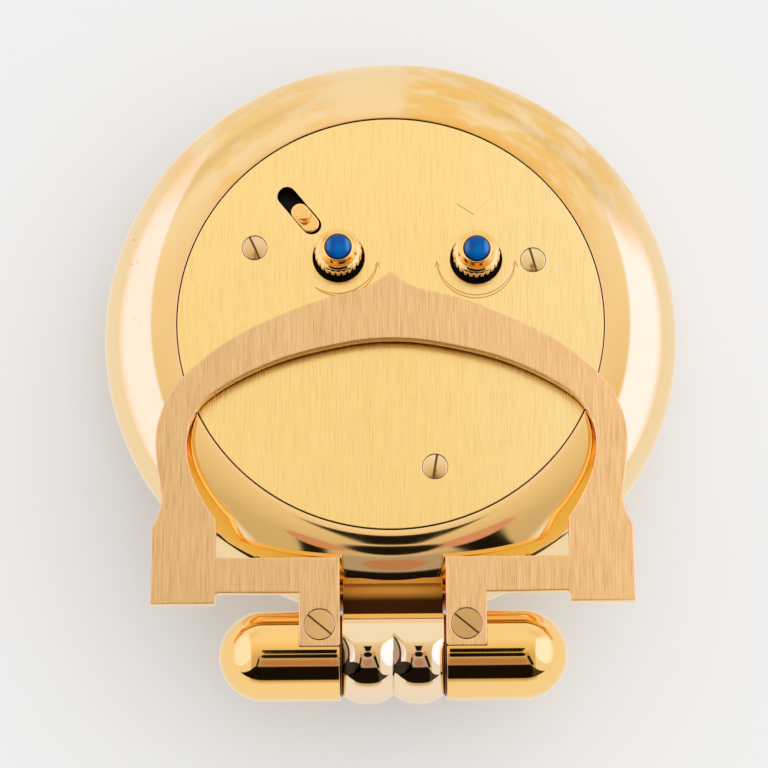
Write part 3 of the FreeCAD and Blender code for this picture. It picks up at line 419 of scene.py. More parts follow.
def inset(loop, distance):
    """A loop moved to its left by a distance: each point goes along the mean of its two edges' normals,
    further where they differ, so that the edges stay parallel to where they were."""
    before, after = loop - np.roll(loop, 1, axis=0), np.roll(loop, -1, axis=0) - loop
    normals = []
    for edge in (before, after):
        edge = edge / np.linalg.norm(edge, axis=1)[:, None]
        normals.append(np.column_stack([-edge[:, 1], edge[:, 0]]))
    total = normals[0] + normals[1]
    reach = 2 / np.maximum(np.sum(total * total, axis=1), 1.0)
    return loop + total * reach[:, None] * distance


def thinned(loop, gap=4e-5):
    """A loop without points nearer than a gap to the one before."""
    kept = [loop[0]]
    for point in loop[1:]:
        if np.linalg.norm(point - kept[-1]) > gap and np.linalg.norm(point - loop[0]) > gap / 2:
            kept.append(point)
    return np.array(kept)


def slab(shell, loops, low, high, edge, steps=4):
    """A plate between two heights whose upper and lower edges are rounded by a quarter circle. A flat
    margin as wide as the rounding keeps the flat faces' normals straight."""
    angle = np.linspace(0, math.pi / 2, steps + 1)
    inward = edge * (1 - np.sin(angle))
    drop = edge * (1 - np.cos(angle))
    insets = np.concatenate([inward, inward[::-1]])
    heights = np.concatenate([high - drop, low + drop[::-1]])
    loops = [thinned(loop) for loop in loops]
    for loop in loops:
        rows = [np.column_stack([inset(loop, i), np.full(len(loop), h)]) for i, h in zip(insets, heights)]
        shell.grid(np.array(rows), around=True)
    rims = [inset(loop, edge) for loop in loops]
    margins = [inset(loop, 2 * edge) for loop in loops] if edge else rims
    for height in (high, low):
        for rim, margin in zip(rims, margins):
            if edge:
                rows = [np.column_stack([row, np.full(len(row), height)]) for row in (rim, margin)]
                shell.grid(np.array(rows), around=True)
        shell.fill(margins, height)


def slotted_head(shell, place, radius, low, top, dome, edge, slot_width, slot_depth, turn):
    """A screw's head. Its top is a grid of chords along the slot: height = top - dome (r / radius)^2, less
    a quarter circle at the rim. The chords at the slot's sides are doubled, once on top and once on its
    floor."""
    half, clear = slot_width / 2, 1e-6
    outer = np.sin(np.linspace(0, math.pi / 2, 22)) * (radius - half - clear) + half + clear
    side = [(v, False) for v in outer[::-1]] + [(half, False), (half, True)]
    rows = side + [(0.0, True)] + [(-v, flat) for v, flat in side[::-1]]
    across = np.sin(np.linspace(-math.pi / 2, math.pi / 2, 49))
    floor = top - slot_depth
    points = []
    for v, in_slot in rows:
        u = across * math.sqrt(max(radius ** 2 - v ** 2, 0.0))
        r = np.hypot(u, v)
        beyond = np.clip((r - radius + edge) / edge, 0, 1)
        height = top - dome * (r / radius) ** 2 - edge * (1 - np.sqrt(1 - beyond ** 2))
        if in_slot:
            height = np.minimum(height, floor)
        points.append(np.column_stack([u, np.full_like(u, v), height]))
    points = np.array(points)
    cosine, sine = math.cos(turn), math.sin(turn)
    x = points[..., 0] * cosine - points[..., 1] * sine + place[0]
    y = points[..., 0] * sine + points[..., 1] * cosine + place[1]
    points = np.stack([x, y, points[..., 2]], axis=-1)
    shell.grid(points)
    rim = np.concatenate([points[:, 0], points[::-1, -1]])
    foot = rim.copy()
    foot[:, 2] = low
    shell.grid(np.array([rim, foot]), around=True)
    middle = np.broadcast_to([place[0], place[1], low], rim.shape)
    shell.grid(np.array([foot, middle]), around=True)


# ---- Finishes ----
def new_material(name):
    """A material and its tree, which is still empty."""
    material = bpy.data.materials.new(name)
    return material, Tree(material)


def streaks(tree, fine=8200.0, coarse=3100.0, stretch=40.0):
    """Two noises drawn out along Y, as brushing leaves them, each about -1 to 1."""
    x, y, z, _ = tree.position()
    sharp = tree.noise(tree.vector(x * fine, y * (fine / stretch), z * (fine / 4)), roughness=0.7)
    broad = tree.noise(tree.vector(x * coarse, y * (coarse / stretch), z * coarse))
    return (sharp - 0.5) * 4.0, (broad - 0.5) * 4.0


def blotches(tree, scale, low, high, seed=0.0, detail=3.0):
    """Soft patches: 0 where the noise is under low, 1 where it is over high."""
    x, y, z, _ = tree.position()
    noise = tree.noise(tree.vector(x + seed, y - seed, z), scale=scale, detail=detail)
    return tree.step(noise, low, high)


def engraved_marks(tree, crowns):
    """How deep the plate is engraved, 0 to 1, and how strong the painted highlight on the burrs beside the
    strokes is. Under each crown there is a crescent of two arcs with arrow ends, at ring +- swell
    (1 - (turn / half)^2) from its middle, and beside them a pair of clock hands drawn as two strokes. A
    stroke is where the distance to its line is small."""
    x, y, _, _ = tree.position()
    ring, swell, stroke, barb = 5.42 * MM, 0.22 * MM, 0.16 * MM, 0.8 * MM
    hub, hand = (11.65 * MM, 15.25 * MM), 0.18 * MM
    depth, light = [], []

    def engrave(distance, width, weight=1.0):
        """Cuts a stroke, with a painted highlight for a burr on both sides of it."""
        depth.append(tree.step(distance, width * 0.65, width * 0.35) * weight)
        light.append(tree.step(distance, width * 1.5, width * 0.9))

    for (cx, cy), first, last, arrows in crowns:
        dx, dy = x - cx, y - cy
        away = tree.length(dx, dy)
        middle, half = math.radians((first + last) / 2), math.radians((last - first) / 2)
        turn = tree.math("ARCTAN2", dy * math.cos(middle) - dx * math.sin(middle),
                         dx * math.cos(middle) + dy * math.sin(middle))
        beyond = (abs(turn) - half).greater(0.0) * away
        share = abs(turn) / half
        bulge = swell * (1.0 - share * share)
        for side in (1.0, -1.0):
            engrave(abs(away - ring + side * bulge).greater(beyond), stroke)
        for end, way in arrows:
            tip = math.radians(end)
            px, py = cx + ring * math.cos(tip), cy + ring * math.sin(tip)
            for spread in (-0.45, 0.45):
                lean = tip - way * (math.pi / 2) + spread
                far = (px + barb * math.cos(lean), py + barb * math.sin(lean))
                engrave(tree.distance(x, y, (px, py), far), stroke)
    for tip, weight in (((9.45 * MM, 16.8 * MM), 1.0), ((14.5 * MM, 17.9 * MM), 0.3)):
        engrave(tree.distance(x, y, hub, tip), hand, weight)
    cut, edge = depth[0], light[0]
    for deeper, lighter in zip(depth[1:], light[1:]):
        cut, edge = cut.greater(deeper), edge.greater(lighter)
    return cut, edge * (1.0 - cut)


def brushed_gold(name, base, pale, variation, rough, marks=None, depth=1.0, walls=None,
                 wall_colour=(0.93, 0.60, 0.13), light_slope=0.0, paler=0.0):
    """Gold with fine lines along Y. The lines' noise mixes the base with a paler tone and a deeper one,
    and tilts the surface; below the height called walls it is polished, in the walls' colour. As painted
    light, the tone grows by the light_slope per metre along X, and the right side takes more of the paler
    tone, so that it is brighter towards the right."""
    material, tree = new_material(name)
    sharp, broad = streaks(tree)
    lines = sharp * 0.8 + broad * 0.2
    cloud = blotches(tree, 70.0, 0.3, 0.75) - 0.5
    shade = lines * variation + cloud * 0.04
    share = tree.remap(shade, 0.0, 0.5, 0.0, 1.0)
    # Painted light: the right side takes more of the paler tone.
    if paler:
        share = share + tree.step(tree.position()[0], 4.0 * MM, 24.0 * MM) * paler
    colour = tree.mix(share, base, pale)
    # Painted light: the tone grows with X by the light_slope, brighter towards the right.
    colour = tree.scaled(colour, 1.0 + shade.lesser(0.0) * 0.9 + tree.position()[0] * light_slope)
    roughness = tree.remap(broad, -1.0, 1.0, *rough)
    height = lines * depth
    if marks:
        cut, edge = engraved_marks(tree, marks)
        colour = tree.mix(cut * 0.8, colour, [c * k for c, k in zip(base, (0.66, 0.45, 0.15))])
        # Painted highlight: the burrs beside the strokes are lightened.
        colour = tree.mix(edge * 0.35, colour, (1.0, 0.90, 0.62))
        height = height - cut * 4.0
    normal = tree.bump(height, 0.006 * MM)
    if walls:
        wall = tree.step(tree.position()[2], walls, walls - 0.08 * MM)
        colour = tree.mix(wall, colour, wall_colour)
        roughness = roughness * (1.0 - wall) + wall * 0.10
    tree.principled(Base_Color=colour, Metallic=1.0, Roughness=roughness, Normal=normal)
    return material


def polished_gold(name, base, tarnish, amount, roughness=0.05, specks=0.0, window=None, shaded=None):
    """Mirror gold with soft amber patches, more of them in a window, a few dark specks, and nearly black as
    painted shade where it is shaded. Window and shaded are functions that take the tree and return a mask."""
    material, tree = new_material(name)
    patch = blotches(tree, 60.0, 0.42, 0.75, 0.3) * amount
    if window:
        patch = patch.greater(window(tree))
    colour = tree.mix(patch, base, tarnish)
    haze = blotches(tree, 240.0, 0.45, 0.8, 1.7)
    if specks:
        spot = blotches(tree, 1500.0, 0.77, 0.80, 5.1, 0.0) * blotches(tree, 110.0, 0.60, 0.68, 9.0)
        colour = tree.mix(spot * specks, colour, (0.28, 0.15, 0.06))
    # Painted shade: near black inside the shaded mask.
    if shaded:
        colour = tree.mix(shaded(tree), colour, (0.18, 0.09, 0.03))
    tree.principled(Base_Color=colour, Metallic=1.0, Roughness=roughness + haze * 0.03 + patch * 0.05)
    return material


def below(height):
    """A mask for what lies under a height, for painted shade in slots and gaps."""
    return lambda tree: tree.step(tree.position()[2], height, height - 0.2 * MM)


def plain(name, colour, metallic=0.0, roughness=0.5, grain=0.05, scale=900.0, **more):
    """An even finish whose tone and roughness vary a little from place to place."""
    material, tree = new_material(name)
    noise = tree.noise(tree.position()[3], scale=scale, detail=3.0)
    shade = tree.scaled(colour, 1.0 + (noise - 0.5) * (2 * grain))
    tree.principled(Base_Color=shade, Metallic=metallic, Roughness=roughness + (noise - 0.5) * 0.1, **more)
    return material


def stone(name, place, radius):
    """A blue cabochon with painted light: lighter to its sides and below the middle as painted light coming
    through it, and darker towards 12 o'clock and round its edge as painted shade."""
    material, tree = new_material(name)
    x, y, _, _ = tree.position()
    dx, dy = (x - place[0]) / radius, (y - place[1]) / radius
    away = tree.length(dx, dy)
    side = tree.step(abs(dx), 0.42, 0.72) * tree.step(abs(dy - 0.05), 0.65, 0.25)
    low = tree.step(tree.length(dx, dy + 0.35), 0.6, 0.1)
    # Painted light at the sides and below the middle, painted shade towards 12 o'clock and round the edge.
    colour = tree.mix(side * 0.55, (0.0, 0.080, 0.33), (0.09, 0.31, 0.62))
    colour = tree.mix(low * 0.6, colour, (0.002, 0.17, 0.52))
    colour = tree.mix(tree.step(dy, 0.35, 0.8) * 0.6, colour, (0.015, 0.03, 0.15))
    colour = tree.mix(tree.step(away, 0.80, 0.97) * 0.95, colour, (0.0, 0.010, 0.05))
    tree.principled(Base_Color=colour, Roughness=0.08, IOR=1.3, Specular_IOR_Level=0.2)
    return material


def dial_face(name):
    """Cream paint with a printed minute track: 60 short strokes between two thin rings."""
    material, tree = new_material(name)
    x, y, _, place = tree.position()
    away = tree.length(x, y)
    turn = tree.math("ARCTAN2", x, y) * (60 / (2 * math.pi))
    nearest = abs(turn - turn.math("ROUND")) * (2 * math.pi / 60) * away
    middle, half = 27.6 * MM, 0.42 * MM
    between = tree.step(abs(away - middle), half, 0.38 * MM)
    strokes = tree.step(nearest, 0.09 * MM, 0.06 * MM) * between
    rings = tree.step(abs(abs(away - middle) - half), 0.06 * MM, 0.04 * MM)
    ink = strokes.greater(rings)
    grain = tree.noise(place, scale=2500.0)
    paper = tree.scaled((0.80, 0.74, 0.60), 0.97 + grain * 0.06)
    tree.principled(Base_Color=tree.mix(ink, paper, (0.015, 0.014, 0.013)), Roughness=0.45,
                    Normal=tree.bump(grain, 0.002 * MM))
    return material


# ---- Settings shown in the sidebar ----
def colour_setting(name, description, default):
    """A colour that the user can change."""
    return bpy.props.FloatVectorProperty(name=name, description=description, default=default, subtype="COLOR",
                                         min=0, max=1)


class ClockFinish(bpy.types.PropertyGroup):
    """Colours and brushing of the metal."""
    plate_colour: colour_setting("Plate Colour", "Reflected colour of the back plate", (1.0, 0.79, 0.385))
    stand_colour: colour_setting("Stand Colour", "Reflected colour of the folding stand",
                                 (0.885, 0.615, 0.33))
    case_colour: colour_setting("Case Colour", "Reflected colour of the polished case", (0.90, 0.68, 0.385))
    brushing: bpy.props.FloatProperty(
        name="Brushing", description="How deep the brushed lines are, 1 being as made", subtype="FACTOR",
        min=0, max=3, default=1.0)


class ClockShape(bpy.types.PropertyGroup):
    """Edge roundings and the fineness of the meshes."""
    plate_edge: bpy.props.FloatProperty(
        name="Plate Edge", description="Rounding of the back plate's edges", unit="LENGTH",
        min=0, default=0.06 * MM)
    stand_edge: bpy.props.FloatProperty(
        name="Stand Edge", description="Rounding of the stand's edges", unit="LENGTH",
        min=0, default=0.14 * MM)
    turns: bpy.props.IntProperty(
        name="Turned Steps", description="Steps round the turned pieces", min=32, max=720, default=360)


class ClockStage(bpy.types.PropertyGroup):
    """Camera, floor and light."""
    distance: bpy.props.FloatProperty(
        name="Distance", description="From the camera to the clock", unit="LENGTH", default=0.45)
    tilt: bpy.props.FloatProperty(
        name="Tilt", description="Angle of the camera from straight above, towards 6 o'clock",
        unit="ROTATION", default=math.radians(16.06))
    roll: bpy.props.FloatProperty(
        name="Roll", description="Turn of the camera about its own axis", unit="ROTATION",
        default=math.radians(0.49))
    lens: bpy.props.FloatProperty(
        name="Lens", description="Focal length of the camera", subtype="DISTANCE_CAMERA", default=150.53)
    floor_colour: colour_setting("Floor Colour", "Colour of the floor", (0.84, 0.84, 0.84))
    light: bpy.props.FloatProperty(
        name="Light", description="Strength of the light on matt surfaces", min=0, default=1.05)


class ClockSettings(bpy.types.PropertyGroup):
    """All the settings of the clock."""
    finish: bpy.props.PointerProperty(type=ClockFinish, name="Finish", description="Colours and brushing")
    shape: bpy.props.PointerProperty(type=ClockShape, name="Shape", description="Edges and fineness")
    stage: bpy.props.PointerProperty(type=ClockStage, name="Stage", description="Camera, floor and light")


# ---- Pieces ----
class CLOCK_OT_case(bpy.types.Operator):
    """Build the polished case ring and the front bezel"""
    bl_idname = "clock.case"
    bl_label = "Case"

    def execute(self, context):
        """The ring's section is a quarter ellipse up to the plate and another down to the bezel."""
        settings = context.scene.clock
        low, high = box_of("case_ring")
        plate_low, plate_high = box_of("back_plate")
        widest = min(high[0], high[1], -low[0]) - 1e-5
        bezel_radius = box_of("front_bezel")[1][0]
        groove_width, equator = 0.17 * MM, 8.8 * MM
        recess = plate_high[0] + groove_width
        top, bottom = high[2], low[2]
        upper = ellipse((recess, equator), (widest - recess, top - equator), 90, 0, 72)
        lower = ellipse((bezel_radius, equator), (widest - bezel_radius, equator - bottom), 0, -90, 48)
        lip = ellipse((recess + 0.1 * MM, top - 0.1 * MM), (0.1 * MM, 0.1 * MM), 180, 90, 4)
        socket, bore, ledge = 31.4 * MM, 29.0 * MM, recess - 1.75 * MM
        dial_back, floor = 4.8 * MM, plate_low[2]
        inside = [(socket, bottom), (socket, dial_back), (bore, dial_back), (bore, floor - 1.5 * MM),
                  (ledge, floor - 1.5 * MM), (ledge, floor), (recess, floor)]
        profile = np.concatenate([lip, upper[3:], lower[1:], inside])
        ring = Shell()
        lathe(ring, closed(profile), steps=settings.shape.turns)

        def amber_patches(tree):
            """Brassy stains, drawn out round the rim: strong from 12 to 2 o'clock, weaker from 10 to 11."""
            x, y, z, _ = tree.position()
            turn = tree.math("ARCTAN2", x, y)
            away = tree.length(x, y)
            right = tree.step(turn, 0.02, 0.12) * tree.step(turn, 1.35, 0.8)
            left = tree.step(turn, -0.12, -0.35) * tree.step(turn, -1.15, -0.8)
            cloud = tree.noise(tree.vector(turn * 4.5, away * 420.0, z * 90.0), detail=5.0, roughness=0.62)
            return (right * 0.95 + left * 0.6) * tree.step(cloud, 0.38, 0.58)

        def gap(tree):
            """Painted shade: the groove round the plate, and the nook beside the hinge's neck."""
            x, y, z, _ = tree.position()
            inner = tree.step(tree.length(x, y), recess + 0.03 * MM, recess + 0.01 * MM)
            groove = inner * tree.step(z, top - 0.06 * MM, top - 0.12 * MM) * tree.step(z, 10 * MM, 11 * MM)
            nook = tree.step(abs(x), 7.8 * MM, 7.4 * MM) * tree.step(y, -37.2 * MM, -37.8 * MM)
            return groove.greater(nook * 0.85)

        colour = settings.finish.case_colour
        # Painted shade: gap makes the case nearly black in the groove and the nook.
        gold = polished_gold("case_gold", colour, (0.87, 0.54, 0.17), amount=0.12, specks=0.5,
                             window=amber_patches, shaded=gap)
        ring.build("case_ring_shell", "case", gold, ["case_ring"])

        edge, seat = 0.5 * MM, 4.35 * MM
        skirt, inner = socket - 0.05 * MM, socket - 0.45 * MM
        lip_radius, front = min(bezel_radius - 3.6 * MM, 29.9 * MM), 1.0 * MM
        corners = [(bezel_radius - edge - 1.0 * MM, 0), (bezel_radius - edge, 0), (bezel_radius, edge),
                   (bezel_radius, bottom), (skirt, bottom), (skirt, seat), (inner, seat),
                   (inner, front), (lip_radius, front), (lip_radius, 0.45 * MM)]
        sizes = np.array([0.25, 0.25, 0.25, 0.05, 0, 0.05, 0.05, 0, 0.1, 0.1]) * MM
        bezel = Shell()
        lathe(bezel, closed(softened(corners, sizes)), steps=settings.shape.turns)
        bezel.build("front_bezel_shell", "case", gold, ["front_bezel"])
        return {"FINISHED"}


class CLOCK_OT_plate(bpy.types.Operator):
    """Build the brushed back plate with its engraved marks, and the plate's screws"""
    bl_idname = "clock.plate"
    bl_label = "Back Plate"

    def execute(self, context):
        """The plate's outlines come from the CAD plate; its marks are engraved by the material."""
        settings = context.scene.clock
        low, high = box_of("back_plate")
        marks = [(middle_of("alarm_crown")[:2], -127.0, -8.0, [(-8.0, 1)]),
                 (middle_of("time_crown")[:2], -176.0, -4.0, [(-4.0, 1), (-176.0, -1)])]
        finish = settings.finish
        # Painted light: paler lightens the plate towards the right.
        gold = brushed_gold("plate_gold", finish.plate_colour, (1.0, 0.88, 0.56), variation=0.20,
                            rough=(0.18, 0.28), marks=marks, depth=finish.brushing,
                            # Painted shade: the near black wall_colour darkens the plate's edge walls down in
                            # the groove.
                            walls=high[2] - 0.05 * MM, wall_colour=(0.16, 0.08, 0.025), paler=0.5)
        plate = Shell()
        slab(plate, boundary_loops("back_plate", high[2]), low[2], high[2], settings.shape.plate_edge)
        plate.build("back_plate_shell", "case", gold, ["back_plate"])

        heads = Shell()
        top, circle, radius = box_of("plate_screws")[1][2], 21.6 * MM, 1.72 * MM
        for angle, turn in ((150.4, 114.0), (23.4, 105.0), (-74.1, 80.0)):
            way = math.radians(angle)
            place = (circle * math.cos(way), circle * math.sin(way))
            slotted_head(heads, place, radius, low=high[2] - 0.8 * MM, top=top, dome=top - high[2],
                         edge=0.1 * MM, slot_width=0.32 * MM, slot_depth=0.4 * MM, turn=math.radians(turn))
        # Painted shade: the screw is nearly black more than 0.2 mm under its top, in the slot and low on its
        # head.
        screw = polished_gold("screw_gold", (0.84, 0.66, 0.40), (0.62, 0.44, 0.2), amount=0.6,
                              roughness=0.16, shaded=below(top - 0.2 * MM))
        heads.build("plate_screw_heads", "case", screw, ["plate_screws"])
        return {"FINISHED"}


class CLOCK_OT_crowns(bpy.types.Operator):
    """Build the two fluted crowns and their blue stones"""
    bl_idname = "clock.crowns"
    bl_label = "Crowns"

    def execute(self, context):
        """Each crown turns on its body with its stone."""
        for name, body in (("time", "time_setting"), ("alarm", "alarm_setting")):
            self.crown(name, body)
            self.cabochon(name, body)
        return {"FINISHED"}

    def crown(self, name, body):
        """The skirt is a ring of round lobes: with o from 0 on a lobe's middle to 1 in the valley, its
        radius falls as a quarter ellipse, by depth (1 - sqrt(1 - (0.97 o)^2)) over its value at o = 1."""
        low, high = box_of(name + "_crown")
        middle = (low + high) / 2
        radius, skirt, flutes, depth = 3.25 * MM, 17.5 * MM, 24, 0.25 * MM
        top = skirt + 1.6 * MM
        collar, seat, amber = top + 0.8 * MM, high[2], top + 0.3 * MM

        def glow(tree):
            """Painted reflection: the collar's side towards 6 o'clock is tinted deep amber."""
            _, y, z, _ = tree.position()
            facing = tree.step(y - middle[1], -0.9 * MM, -1.7 * MM)
            return facing * tree.step(z, amber, amber + 0.1 * MM) * tree.step(z, seat, seat - 0.1 * MM)

        # Painted reflection: glow tints the collar's side towards 6 o'clock deep amber.
        gold = polished_gold(name + "_crown_gold", (0.95, 0.67, 0.28), (0.92, 0.46, 0.09), amount=0.2,
                             roughness=0.07, window=glow)
        corners = [(0, low[2]), (1.6 * MM, low[2]), (1.6 * MM, skirt), (radius - 0.3 * MM, skirt),
                   (radius, skirt + 0.3 * MM), (radius, top - 0.35 * MM), (radius - 0.35 * MM, top),
                   (2.8 * MM, top), (2.45 * MM, top + 0.25 * MM), (2.7 * MM, top + 0.5 * MM),
                   (2.6 * MM, collar - 0.1 * MM), (2.35 * MM, collar + 0.15 * MM),
                   (2.1 * MM, seat - 0.1 * MM), (1.98 * MM, seat), (1.87 * MM, seat),
                   (1.87 * MM, seat - 0.35 * MM), (0, seat - 0.35 * MM)]
        sizes = [0, 0.1, 0, 0.1, 0.15, 0.15, 0.15, 0.05, 0.15, 0.15, 0.12, 0.1, 0.06, 0.04, 0.04, 0, 0]
        profile = softened(corners, np.array(sizes) * MM)
        steps = flutes * 16
        angle = np.arange(steps) * 2 * math.pi / steps
        off = 1 - np.abs((angle * flutes / (2 * math.pi)) % 1 - 0.5) * 2
        cut = radius - depth * (1 - np.sqrt(1 - (0.97 * off) ** 2)) / (1 - math.sqrt(1 - 0.97 ** 2))
        reach = np.where((profile[:, 1:] > skirt - 1e-6) & (profile[:, 1:] < top + 1e-6),
                         np.minimum(profile[:, :1], cut), profile[:, :1])
        shell = Shell()
        lathe(shell, profile, (middle[0], middle[1], 0), steps=steps, reach=reach)
        shell.build(name + "_crown_shell", body, gold, [name + "_crown"], crease=30.0)

    def cabochon(self, name, body):
        """A cap of a sphere of radius (girdle^2 + height^2) / (2 height), on a short straight foot."""
        low, high = box_of(name + "_cabochon")
        middle = (low + high) / 2
        girdle, height = high[0] - middle[0], 1.15 * MM
        sphere = (girdle ** 2 + height ** 2) / (2 * height)
        dome = np.linspace(0, math.asin(girdle / sphere), 33)
        arc = np.column_stack([sphere * np.sin(dome), high[2] - sphere * (1 - np.cos(dome))])
        shell = Shell()
        lathe(shell, np.concatenate([arc, [(girdle, low[2]), (0, low[2])]]), (middle[0], middle[1], 0),
              steps=96)
        blue = stone(name + "_stone", middle, girdle)
        shell.build(name + "_cabochon_shell", body, blue, [name + "_cabochon"])


class CLOCK_OT_switch(bpy.types.Operator):
    """Build the alarm switch's lever"""
    bl_idname = "clock.switch"
    bl_label = "Alarm Switch"

    def execute(self, context):
        """A round-ended slide from the CAD lever's outline, with a waisted peg turned on it."""
        low, high = box_of("alarm_lever")
        top, radius = high[2] - 1.3 * MM, 0.95 * MM
        outline, hole = boundary_loops("alarm_lever", top)
        peg = (hole.min(axis=0) + hole.max(axis=0)) / 2
        gold = polished_gold("lever_gold", (0.95, 0.66, 0.27), (0.75, 0.45, 0.14), amount=0.2,
                             roughness=0.10)
        lever = Shell()
        slab(lever, [outline], low[2], top, 0.22 * MM)
        corners = [(0, top - 0.05 * MM), (radius * 1.1, top - 0.05 * MM), (radius * 1.1, top + 0.1 * MM),
                   (radius * 0.72, top + 0.55 * MM), (radius * 0.78, top + 0.72 * MM),
                   (radius, top + 0.8 * MM), (radius, high[2] - 0.08 * MM), (radius * 0.86, high[2]),
                   (0, high[2])]
        sizes = np.array([0, 0, 0.1, 0.25, 0.1, 0.1, 0.12, 0.12, 0]) * MM
        lathe(lever, softened(corners, sizes), (peg[0], peg[1], 0), steps=72)
        lever.build("alarm_lever_shell", "alarm_switch", gold, ["alarm_lever"])
        return {"FINISHED"}


class CLOCK_OT_stand(bpy.types.Operator):
    """Build the folding stand and its two screws"""
    bl_idname = "clock.stand"
    bl_label = "Stand"

    def execute(self, context):
        """The frame's outlines come from the CAD stand, with rounded polished edges."""
        settings = context.scene.clock
        low, high = box_of("stand_frame")
        finish = settings.finish
        # Painted light: light_slope brightens the stand towards the right.
        gold = brushed_gold("stand_gold", finish.stand_colour, (1.0, 0.84, 0.60), variation=0.36,
                            rough=(0.26, 0.40), depth=finish.brushing, walls=high[2] - 0.25 * MM, light_slope=2.2)
        stand = Shell()
        loops = boundary_loops("stand_frame", high[2])
        slab(stand, loops, low[2], high[2], settings.shape.stand_edge)
        stand.build("stand_frame_shell", "stand", gold, ["stand_frame"])
        # Painted shade: the screw is nearly black more than 0.2 mm under its top, in the slot and low on its
        # head.
        screw = polished_gold("stand_screw_gold", (0.80, 0.56, 0.30), (0.58, 0.38, 0.18), amount=0.7,
                              roughness=0.22, shaded=below(high[2] - 0.2 * MM))
        heads = Shell()
        for hole in loops[1:]:
            place = (hole.min(axis=0) + hole.max(axis=0)) / 2
            slotted_head(heads, place, 2.05 * MM, low=high[2] - 0.9 * MM, top=high[2], dome=0.0,
                         edge=0.08 * MM, slot_width=0.26 * MM, slot_depth=0.4 * MM, turn=math.radians(-40.0))
        heads.build("stand_screw_heads", "stand", screw, ["stand_screws"])
        return {"FINISHED"}


